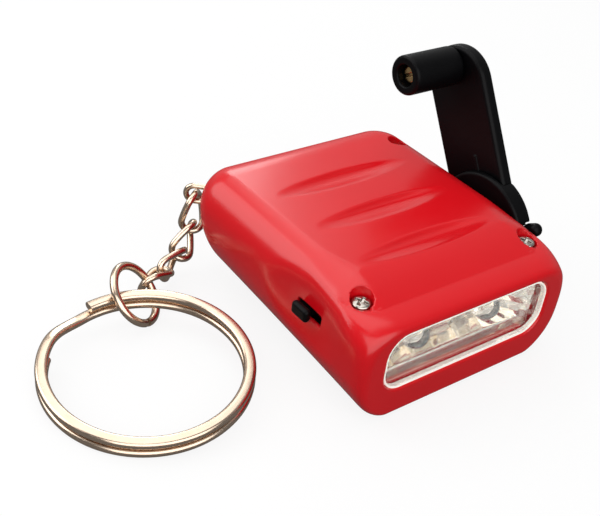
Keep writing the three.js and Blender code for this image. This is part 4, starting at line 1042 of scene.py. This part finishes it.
# %% Lamp tray
reflector_low, reflector_high = box_mm("reflector")
window_middle = (window_low + window_high) / 2
front_half_x = window_half_width - gap
front_half_z = (window_high - window_low) / 2 - gap
end_taper = 6.0
side_taper = 1.95
tray_wall = 0.9
facet_pitch = 3.1
facet_depth = 0.5
top_cut_height = 2.2
top_cut_depth = 3.2
foot_cut_height = 3
lamp_radius = 2.5
lamp_x = window_half_width - 10.5
print("tray opening", round(2 * front_half_x, 1), "by", round(2 * front_half_z, 1), "mm, lamps at", lamp_x)

# %% [markdown]
# One field gives the tray's outline at each depth, narrower towards the lamps. Two of them, one smaller by
# the wall, make the tray's outside and inside.

# %% Mesh the lamp tray
tray_margin = 0.9
tray_cell = 0.3


def tray_field(p, inset):
    share = (p[:, 1] - reflector_low[1]) / (reflector_high[1] - reflector_low[1])
    facet_share = np.abs((p[:, 2] - window_middle) / facet_pitch % 1 - 0.5) * 2
    half_x = front_half_x - inset - (end_taper - gap) * share - facet_depth * facet_share
    half_z = front_half_z - inset - (side_taper - gap) * share
    return both(np.abs(p[:, 0]) - half_x, np.abs(p[:, 2] - window_middle) - half_z, soft)


def reflector_field(p):
    ends = np.maximum(reflector_low[1] - p[:, 1], p[:, 1] - reflector_high[1])
    outside = both(tray_field(p, 0), ends, soft)
    inside = both(tray_field(p, tray_wall), p[:, 1] - (reflector_high[1] - tray_wall), 0.5)
    body = without(outside, inside, soft)
    top_cut_low = (-beyond, -beyond, window_high - top_cut_height)
    top_cut_high = (beyond, reflector_low[1] + top_cut_depth, beyond)
    body = without(body, block_field(p, top_cut_low, top_cut_high, fine), soft)
    foot_cut_low = (-beyond, -beyond, -beyond)
    foot_cut_high = (beyond, reflector_low[1] + ledge_depth, window_low + foot_cut_height)
    body = without(body, block_field(p, foot_cut_low, foot_cut_high, fine), soft)
    for side in (-1, 1):
        hole = length2(p[:, 0] - side * lamp_x, p[:, 2] - window_middle) - lamp_radius - gap
        body = without(body, hole, soft)
    return body


reflector_mesh = field_mesh("lamp_reflector", reflector_field, reflector_low - tray_margin,
                            reflector_high + tray_margin, tray_cell)
add_piece("lamp_reflector", reflector_mesh, "case", chrome, ["reflector"])

# %% [markdown]
# Each lamp is a five millimetre light emitting diode: a clear epoxy bullet with a flange, cast round two
# flat leads. One lead ends in a small bright cup that holds the chip. The bullet and the leads are
# separate pieces, because light bends in the epoxy and is mirrored by the steel.

# %% Lamp sizes
lamp_low, lamp_high = box_mm("lamp_left")
lead_proud = 1.2
lamp_flange_back = lamp_high[1] - lead_proud
lamp_front = lamp_low[1]
lamp_z = window_middle
flange_rim = 0.4
cup_x = -0.2
cup_front = lamp_front + 4.2
cup_radius = 0.85
bowl_radii = np.array([0.62, 0.7, 0.62])
lead_inner = 1.02
lead_outer = 1.52
lead_half = 0.25
post_half = 0.22
chip_half = 0.2
print("lamp from", round(lamp_front, 1), "to", round(lamp_high[1], 1), "mm, cup at", round(cup_front, 1))

# %% [markdown]
# The bullet is a rod with a half ball in front and a wider rim behind. The cup is a short rod with the
# cap of an egg cut out of it, so that it mirrors light forward as a bowl does.

# %% Bullet and leads


def bullet_field(p):
    radial = length2(p[:, 0], p[:, 2])
    straight = np.maximum(radial - lamp_radius, lamp_front + lamp_radius - p[:, 1])
    dome = np.sqrt(radial ** 2 + (p[:, 1] - lamp_front - lamp_radius) ** 2) - lamp_radius
    body = np.minimum(straight, dome)
    body = both(body, p[:, 1] - lamp_flange_back, soft)
    flange = bar_field(p, 1, (0, 0), lamp_radius + flange_rim, lamp_flange_back - 1, lamp_flange_back, soft)
    return either(body, flange, small)


def leads_field(p):
    cup = bar_field(p, 1, (cup_x, 0), cup_radius, cup_front, cup_front + 1.0, fine)
    cup = without(cup, egg_field(p, (cup_x, cup_front - 0.1, 0), bowl_radii), fine)
    post_low = (-lead_outer, cup_front + 0.8, -post_half)
    post = block_field(p, post_low, (0.45, lamp_flange_back - 0.6, post_half), fine)
    wide_low = (-lead_outer, lamp_flange_back - 2, -lead_half)
    wide_lead = block_field(p, wide_low, (-lead_inner, lamp_high[1], lead_half), crisp)
    thin_low = (lead_inner, cup_front + 0.6, -lead_half)
    thin_lead = block_field(p, thin_low, (lead_outer, lamp_high[1], lead_half), crisp)
    body = either(either(cup, post, fine), either(wide_lead, thin_lead, fine), fine)
    chip_low = (-0.42, cup_front + 0.3, -chip_half)
    chip_high = (0.02, cup_front + 0.7, chip_half)
    return either(body, block_field(p, chip_low, chip_high, crisp), crisp)


print("bullet", 2 * lamp_radius, "mm across, cup", 2 * cup_radius, "mm")

# %% [markdown]
# Both lamps are alike, so the same two fields are meshed at each lamp's place. The leads are small and
# show through the window, so their net is finer.

# %% Mesh the lamps
bullet_cell = 0.2
leads_cell = 0.1
for side, name in ((-1, "lamp_left"), (1, "lamp_right")):
    offset = (side * lamp_x, 0, lamp_z)
    bullet = field_mesh(f"{name}_bullet", bullet_field, (-3.4, lamp_front - 0.6, -3.4),
                        (3.4, lamp_flange_back + 0.6, 3.4), bullet_cell, None, offset)
    add_piece(f"{name}_bullet", bullet, "case", lamp_clear, [name])
    leads = field_mesh(f"{name}_leads", leads_field, (-2.0, lamp_front + 3.4, -1.4),
                       (2.0, lamp_high[1] + 0.4, 1.4), leads_cell, None, offset)
    add_piece(f"{name}_leads", leads, "case", zinc, [name])

# %% [markdown]
# The chain and rings are bent from wire. Each is a path of points with a small outline of the wire swept
# along it. Blender's curves can be bevelled too, but they choose for themselves how the outline turns.
# Here a hint at each point says where its side has to face, as a twisted link and a flat wire need. A
# cut end is closed with a flat face and a sharp edge.

# %% Sweep a section along a path
wire_sides = 20
side_corners = 4


def sweep(name, points, section, side_hints, closed):
    count = len(points)
    if closed:
        along = np.roll(points, -1, 0) - np.roll(points, 1, 0)
    else:
        along = np.gradient(points, axis=0)
    along = unit(along)
    side = unit(side_hints - along * (side_hints * along).sum(1)[:, None])
    rise = np.cross(along, side)
    rings = points[:, None] + side[:, None] * section[None, :, :1] + rise[:, None] * section[None, :, 1:]
    flat = rings.reshape(-1, 3)
    sides = len(section)
    faces = []
    for i in range(count if closed else count - 1):
        a, b = i * sides, (i + 1) % count * sides
        for k in range(sides):
            k2 = (k + 1) % sides
            faces.append((a + k, b + k, b + k2, a + k2))
    if not closed:
        faces.append(tuple(range(sides)))
        faces.append(tuple(reversed(range((count - 1) * sides, count * sides))))
    mesh = smooth_mesh(name, flat, faces)
    work = bmesh.new()
    work.from_mesh(mesh)
    bmesh.ops.recalc_face_normals(work, faces=work.faces)
    if not closed:
        for face in work.faces:
            if len(face.verts) > side_corners:
                face.smooth = False
                for edge in face.edges:
                    edge.smooth = False
    work.to_mesh(mesh)
    work.free()
    return mesh


def round_wire(diameter):
    angles = 2 * math.pi * (np.arange(wire_sides) + 0.5) / wire_sides
    return np.stack([np.cos(angles), np.sin(angles)], 1) * diameter / 2


def heading(angle):
    return np.array([math.cos(angle), math.sin(angle), 0.0])


print("round wire has", wire_sides, "sides")

# %% [markdown]
# A staple eye stands out of the back corner of the case: two straight legs that are fixed inside, joined
# by a half turn outside, which the chain hangs from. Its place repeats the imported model's.

# %% Staple eye
eye_from_side = 3.3
eye_behind_case = 1.7
eye_x, eye_y, eye_z = eye_from_side - case_half_width, case_back + eye_behind_case, 13.1
eye_wire = 1.1
eye_spacing = 3.3
eye_tip = 0.26
eye_heading = math.radians(138.7)
eye_out = heading(eye_heading)
eye_side = heading(eye_heading + math.pi / 2)
eye_bar = np.array([eye_x, eye_y, eye_z])
eye_leg = (eye_y - (case_back - case_wall - gap)) / eye_out[1]
eye_steps = 24
leg_steps = 8
bend = np.linspace(0, math.pi, eye_steps)[:, None]
rise = np.array([0, 0, 1.0])
eye_centre = eye_bar + eye_out * eye_tip + rise * eye_spacing / 2
arc = eye_centre + eye_out * np.sin(bend) * eye_spacing / 2 - rise * np.cos(bend) * eye_spacing / 2
lower_leg = eye_bar - eye_out * eye_leg
leg_shares = np.linspace(0, 1, leg_steps, endpoint=False)[:, None]
low_run = lower_leg + (arc[0] - lower_leg) * leg_shares
upper_leg = lower_leg + rise * eye_spacing
high_run = (upper_leg + (arc[-1] - upper_leg) * leg_shares)[::-1]
eye_path = np.concatenate([low_run, arc, high_run])
eye_hints = np.tile(eye_side, (len(eye_path), 1))
eye_mesh = sweep("chain_staple", eye_path, round_wire(eye_wire), eye_hints, False)
add_piece("chain_staple", eye_mesh, "case", nickel, ["chain_eye"])

# %% [markdown]
# The chain leads from the eye down to a jump ring that leans on the table. Each link's two ends are the
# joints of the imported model, so the places are worked out here in the same way as there: the headings
# are chosen, and the height from the eye to the ring is shared out over the four links.

# %% Where the links and the jump ring lie
link_wire = 1.3
link_length = 7.6
link_width = 4.4
link_gap = 0.45
link_headings = np.radians([221.9, 211, 207.2, 206.6])
link_drop_shares = (0.575, 0.402, 0.085, -0.062)
link_rolls = np.radians([-53.6, -78.5, -104, 35.7])
link_twists = np.radians([70.9, 91.9, 62.7, 58.5])
steepest_share = 0.97
jump_wire = 1.5
jump_radius = 5.55
jump_heading = math.radians(-47.2)
jump_tilt = math.radians(49.4)
jump_pull_heading = math.radians(26.6)
floor_gap = 0.02
pitch = link_length - link_wire - link_gap
wire_step = (link_wire + link_gap) / 2
jump_pull = jump_radius - (jump_wire + link_wire) / 4 - link_gap / 2
jump_normal = heading(jump_heading) * math.sin(jump_tilt) + rise * math.cos(jump_tilt)
jump_out = heading(jump_pull_heading)
jump_out = unit(jump_out - jump_normal * (jump_out @ jump_normal))
jump_height = jump_radius * math.sin(jump_tilt) + jump_wire / 2 + floor_gap
joints = [eye_bar + rise * wire_step]
drop = joints[0][2] - (jump_height + jump_pull * jump_out[2])
for angle, share in zip(link_headings, link_drop_shares):
    fall = max(-steepest_share * pitch, min(steepest_share * pitch, drop * share))
    joints.append(joints[-1] + heading(angle) * math.sqrt(pitch ** 2 - fall ** 2) - rise * fall)
print("chain joints at", np.round(joints, 1).tolist())

# %% [markdown]
# A link is a long loop, two half turns and two straights, that is twisted along its length until it lies
# flat against its neighbours. The path is walked at an even pace, so that its faces are of one size.

# %% Links
link_steps = 72


def link_path(start, end, roll, twist):
    along = unit(end - start)
    middle = (start + end) / 2
    side = unit(np.cross(rise, along))
    over = np.cross(along, side)
    radius = link_width / 2
    straight = link_length / 2 - radius
    turn_length = math.pi * radius
    lap = 2 * turn_length + 4 * straight
    points = []
    for walked in np.arange(link_steps) / link_steps * lap:
        if walked < 2 * straight:
            place = (walked - straight, radius)
        elif walked < 2 * straight + turn_length:
            angle = (walked - 2 * straight) / radius
            place = (straight + radius * math.sin(angle), radius * math.cos(angle))
        elif walked < 4 * straight + turn_length:
            place = (3 * straight + turn_length - walked, -radius)
        else:
            angle = (walked - 4 * straight - turn_length) / radius
            place = (-straight - radius * math.sin(angle), -radius * math.cos(angle))
        angle = roll + twist * place[0] / link_length
        across = side * math.cos(angle) + over * math.sin(angle)
        points.append(middle + along * place[0] + across * place[1])
    points = np.array(points)
    return points, points - middle


for i in range(len(link_headings)):
    path, hints = link_path(joints[i], joints[i + 1], link_rolls[i], link_twists[i])
    name = f"twisted_link_{i + 1}"
    mesh = sweep(name, path, round_wire(link_wire), hints, True)
    add_piece(name, mesh, f"link_{i + 1}", nickel, [f"chain_link_{i + 1}"])

# %% [markdown]
# The jump ring joins the chain to the split ring. It is a round wire bent into one turn, and its two cut
# ends almost meet.

# %% Jump ring
jump_steps = 120
jump_opening = math.radians(8)
jump_place = math.radians(250)
jump_centre = joints[-1] - jump_out * jump_pull
jump_side = np.cross(jump_normal, jump_out)
turned = np.linspace(0, 2 * math.pi - jump_opening, jump_steps + 1)
angles = (jump_place + jump_opening / 2 + turned)[:, None]
jump_path = jump_centre + (jump_out * np.cos(angles) + jump_side * np.sin(angles)) * jump_radius
jump_hints = np.tile(jump_normal, (len(jump_path), 1))
jump_mesh = sweep("butted_jump_ring", jump_path, round_wire(jump_wire), jump_hints, False)
add_piece("butted_jump_ring", jump_mesh, "jump_ring", nickel, ["jump_ring"])

# %% [markdown]
# The split ring is one flat wire wound twice, with a step where it climbs from the lower turn to the
# upper. Its section is a rectangle with well rounded corners, and its cut ends show.

# %% Where the split ring lies
ring_radius = 17.2
ring_wire_width = 2.1
ring_wire_height = 1.42
ring_coil_gap = 0.48
ring_past_jump = 0.91
ring_heading = math.radians(66.85)
ring_tilt = math.radians(5.05)
ring_tilt_heading = math.radians(40.9)
ring_step_place = math.radians(118)
ring_step_half = math.radians(16)
ring_end_gap = math.radians(6)
ring_level = ring_wire_height + ring_coil_gap
ring_half_height = (ring_level + ring_wire_height) / 2
ring_up = rise * math.cos(ring_tilt) - heading(ring_tilt_heading) * math.sin(ring_tilt)
ring_centre = jump_centre - heading(ring_heading) * (ring_radius + ring_past_jump)
ring_centre[2] = ((ring_radius + ring_wire_width / 2) * math.sin(ring_tilt)
                  + ring_half_height * math.cos(ring_tilt) + floor_gap)
ring_east = unit(np.cross(np.array([0, 1.0, 0]), ring_up))
ring_north = np.cross(ring_up, ring_east)
print("ring", 2 * ring_radius + ring_wire_width, "mm across, centre at", ring_centre.round(1).tolist())

# %% [markdown]
# The path goes round twice. For most of it the wire lies level, and in a short stretch it climbs by its
# own height and the gap, first slowly, then fast, then slowly again. The section has its corners rounded
# as a drawn wire has.

# %% Split ring
ring_steps = 240
start = ring_step_half + ring_end_gap
angles = start + (4 * math.pi - 2 * start) * np.linspace(0, 1, ring_steps + 1)
past = np.clip((angles - 2 * math.pi + ring_step_half) / (2 * ring_step_half), 0, 1)
level = past * past * (3 - 2 * past) - 0.5
around = (ring_step_place + angles)[:, None]
outward = ring_east * np.cos(around) + ring_north * np.sin(around)
ring_path = ring_centre + outward * ring_radius + ring_up * ring_level * level[:, None]
corner_steps = 5
corner_angles = np.linspace(0, math.pi / 2, corner_steps + 1)
wire_corner = 0.64
flat_wire = []
for quarter, (sx, sy) in enumerate(((1, 1), (-1, 1), (-1, -1), (1, -1))):
    for angle in corner_angles + quarter * math.pi / 2:
        flat_wire.append((sx * (ring_wire_width / 2 - wire_corner) + wire_corner * math.cos(angle),
                          sy * (ring_wire_height / 2 - wire_corner) + wire_corner * math.sin(angle)))
ring_mesh = sweep("split_key_ring", ring_path, np.array(flat_wire), outward, False)
add_piece("split_key_ring", ring_mesh, "split_ring", nickel, ["split_ring"])

# %% [markdown]
# The ground is a pale plane. A node called Light Path tells what kind of ray looks at a surface, so the
# floor can look white to the camera and darker to what stands on it. A ray that has passed through the
# window's glass and then met a mirror is told apart by its depths, and sees the studio paler, so that
# the lamp tray looks as bright as it does in a white room.

# %% Floor and rays behind glass
share_behind_glass = 0.75
half_floor = 1500 * mm


def behind_glass(owner, path):
    inputs = {0: path["Transmission Depth"], 1: path["Transparent Depth"]}
    passed = node(owner, "ShaderNodeMath", inputs, operation="ADD").outputs[0]
    passed = node(owner, "ShaderNodeMath", {0: passed, 1: 0.5}, operation="GREATER_THAN").outputs[0]
    inputs = {0: passed, 1: path["Is Glossy Ray"]}
    passed = node(owner, "ShaderNodeMath", inputs, operation="MULTIPLY").outputs[0]
    inputs = {0: passed, 1: share_behind_glass}
    return node(owner, "ShaderNodeMath", inputs, operation="MULTIPLY").outputs[0]


floor_mesh = bpy.data.meshes.new("floor")
corners = [(x * half_floor, y * half_floor, 0) for x, y in ((-1, -1), (1, -1), (1, 1), (-1, 1))]
floor_mesh.from_pydata(corners, [], [(0, 1, 2, 3)])
floor = bpy.data.objects.new("floor", floor_mesh)
bpy.context.collection.objects.link(floor)
print("floor", 2 * half_floor, "m across")

# %% [markdown]
# A floor that is lit to white would throw light up at the case and wash out its red, so the floor's paint
# is grey for everything but the camera. A share of glow is mixed in for the camera and for glass, and
# more of it with distance, so that no horizon shows in low views. Mirrors see a dim floor.

# %% Floor finish
floor_share_near = 0.86
floor_share_far = 1.0
floor_near = 250 * mm
floor_far = 1300 * mm
floor_share_in_mirrors = 0.1
white = (1, 1, 1, 1)
floor_material = bpy.data.materials.new("pale_floor")
floor_material.use_nodes = True
floor_material.node_tree.nodes.clear()
path_kind = node(floor_material, "ShaderNodeLightPath").outputs
inputs = {"Factor": path_kind["Is Camera Ray"], "A": linear("#585858"), "B": linear("#F7F7F7")}
paint_colour = node(floor_material, "ShaderNodeMix", inputs, data_type="RGBA").outputs["Result"]
paint = node(floor_material, "ShaderNodeBsdfDiffuse", {"Color": paint_colour})
glow = node(floor_material, "ShaderNodeEmission", {"Color": white, "Strength": 1.0})
inputs = {0: path_kind["Is Glossy Ray"], 1: floor_share_in_mirrors}
mirrored = node(floor_material, "ShaderNodeMath", inputs, operation="MULTIPLY").outputs[0]
inputs = {0: path_kind["Is Camera Ray"], 1: path_kind["Is Transmission Ray"]}
direct = node(floor_material, "ShaderNodeMath", inputs, operation="MAXIMUM").outputs[0]
place = node(floor_material, "ShaderNodeTexCoord").outputs["Object"]
from_middle = node(floor_material, "ShaderNodeVectorMath", {0: place}, operation="LENGTH").outputs["Value"]
inputs = {"Value": from_middle, "From Min": floor_near, "From Max": floor_far,
          "To Min": floor_share_near, "To Max": floor_share_far}
whiter = node(floor_material, "ShaderNodeMapRange", inputs).outputs["Result"]
direct = node(floor_material, "ShaderNodeMath", {0: direct, 1: whiter}, operation="MULTIPLY").outputs[0]
share = node(floor_material, "ShaderNodeMath", {0: mirrored, 1: direct}, operation="MAXIMUM").outputs[0]
inputs = {0: share, 1: behind_glass(floor_material, path_kind)}
share = node(floor_material, "ShaderNodeMath", inputs, operation="MAXIMUM").outputs[0]
inputs = {0: share, 1: paint.outputs[0], 2: glow.outputs[0]}
mixed = node(floor_material, "ShaderNodeMixShader", inputs)
node(floor_material, "ShaderNodeOutputMaterial", {"Surface": mixed.outputs[0]})
floor_mesh.materials.append(floor_material)
print("made", floor_material.name)

# %% [markdown]
# The world round the studio is white where the camera or glass looks into it. In mirrors it is grey, and
# it grows dim towards the front, so that the red keeps its depth. Behind the window it is pale too.

# %% World
bright_way = (0.35, 0.75, 0.55)
sky_dim = 0.15
sky_bright = 0.5
sky_full_at = 0.95
world = bpy.data.worlds.new("studio")
world.use_nodes = True
world.node_tree.nodes.clear()
bpy.context.scene.world = world
direction = node(world, "ShaderNodeTexCoord").outputs["Generated"]
inputs = {0: direction, 1: bright_way}
toward = node(world, "ShaderNodeVectorMath", inputs, operation="DOT_PRODUCT").outputs["Value"]
inputs = {"Value": toward, "From Min": 0.0, "From Max": sky_full_at,
          "To Min": sky_dim, "To Max": sky_bright}
light_share = node(world, "ShaderNodeMapRange", inputs).outputs["Result"]
looked = node(world, "ShaderNodeLightPath").outputs
inputs = {0: looked["Is Camera Ray"], 1: looked["Is Transmission Ray"]}
straight_look = node(world, "ShaderNodeMath", inputs, operation="MAXIMUM").outputs[0]
strength = straight_look
for share in (light_share, behind_glass(world, looked)):
    strength = node(world, "ShaderNodeMath", {0: share, 1: strength}, operation="MAXIMUM").outputs[0]
sky = node(world, "ShaderNodeBackground", {"Color": white, "Strength": strength})
node(world, "ShaderNodeOutputWorld", {"Surface": sky.outputs[0]})
print("world from", sky_dim, "to", sky_bright, "in mirrors")

# %% [markdown]
# Five soft lamps light the piece: a wide one overhead, the widest from the front left as a fill, one
# behind on the left that draws the light line along the crease, a small one behind on the right that
# brightens the back of the top, and a dim one for the ring. Each is a flat panel aimed at the case. A
# gloss mirrors its lamps, so their sizes and places set the shape of each highlight.

# %% Lamps of the studio


def soft_light(name, place_mm, target_mm, size_mm, watts):
    data = bpy.data.lights.new(name, "AREA")
    data.shape = "RECTANGLE"
    data.size = size_mm[0] * mm
    data.size_y = size_mm[1] * mm
    data.energy = watts
    lamp = bpy.data.objects.new(name, data)
    bpy.context.collection.objects.link(lamp)
    lamp.location = Vector(place_mm) * mm
    aim = Vector(target_mm) * mm - lamp.location
    lamp.rotation_euler = aim.to_track_quat("-Z", "Y").to_euler()
    return lamp


studio_lamps = (
    ("overhead", (-40, 120, 450), (0, 0, 10), (480, 480), 0.86),
    ("front", (-150, -420, 230), (0, 0, 10), (900, 560), 2.45),
    ("back_left", (-330, 277, 260), (0, 0, 10), (460, 340), 1.0),
    ("back_strip", (165, 341, 200), (0, 0, 15), (110, 130), 0.19),
    ("ring_glint", (155, 268, 300), (0, 0, 10), (130, 120), 0.05),
)
for lamp_row in studio_lamps:
    soft_light(*lamp_row)
bpy.context.scene.view_settings.view_transform = "Standard"
print("studio lamps:", ", ".join(row[0] for row in studio_lamps))
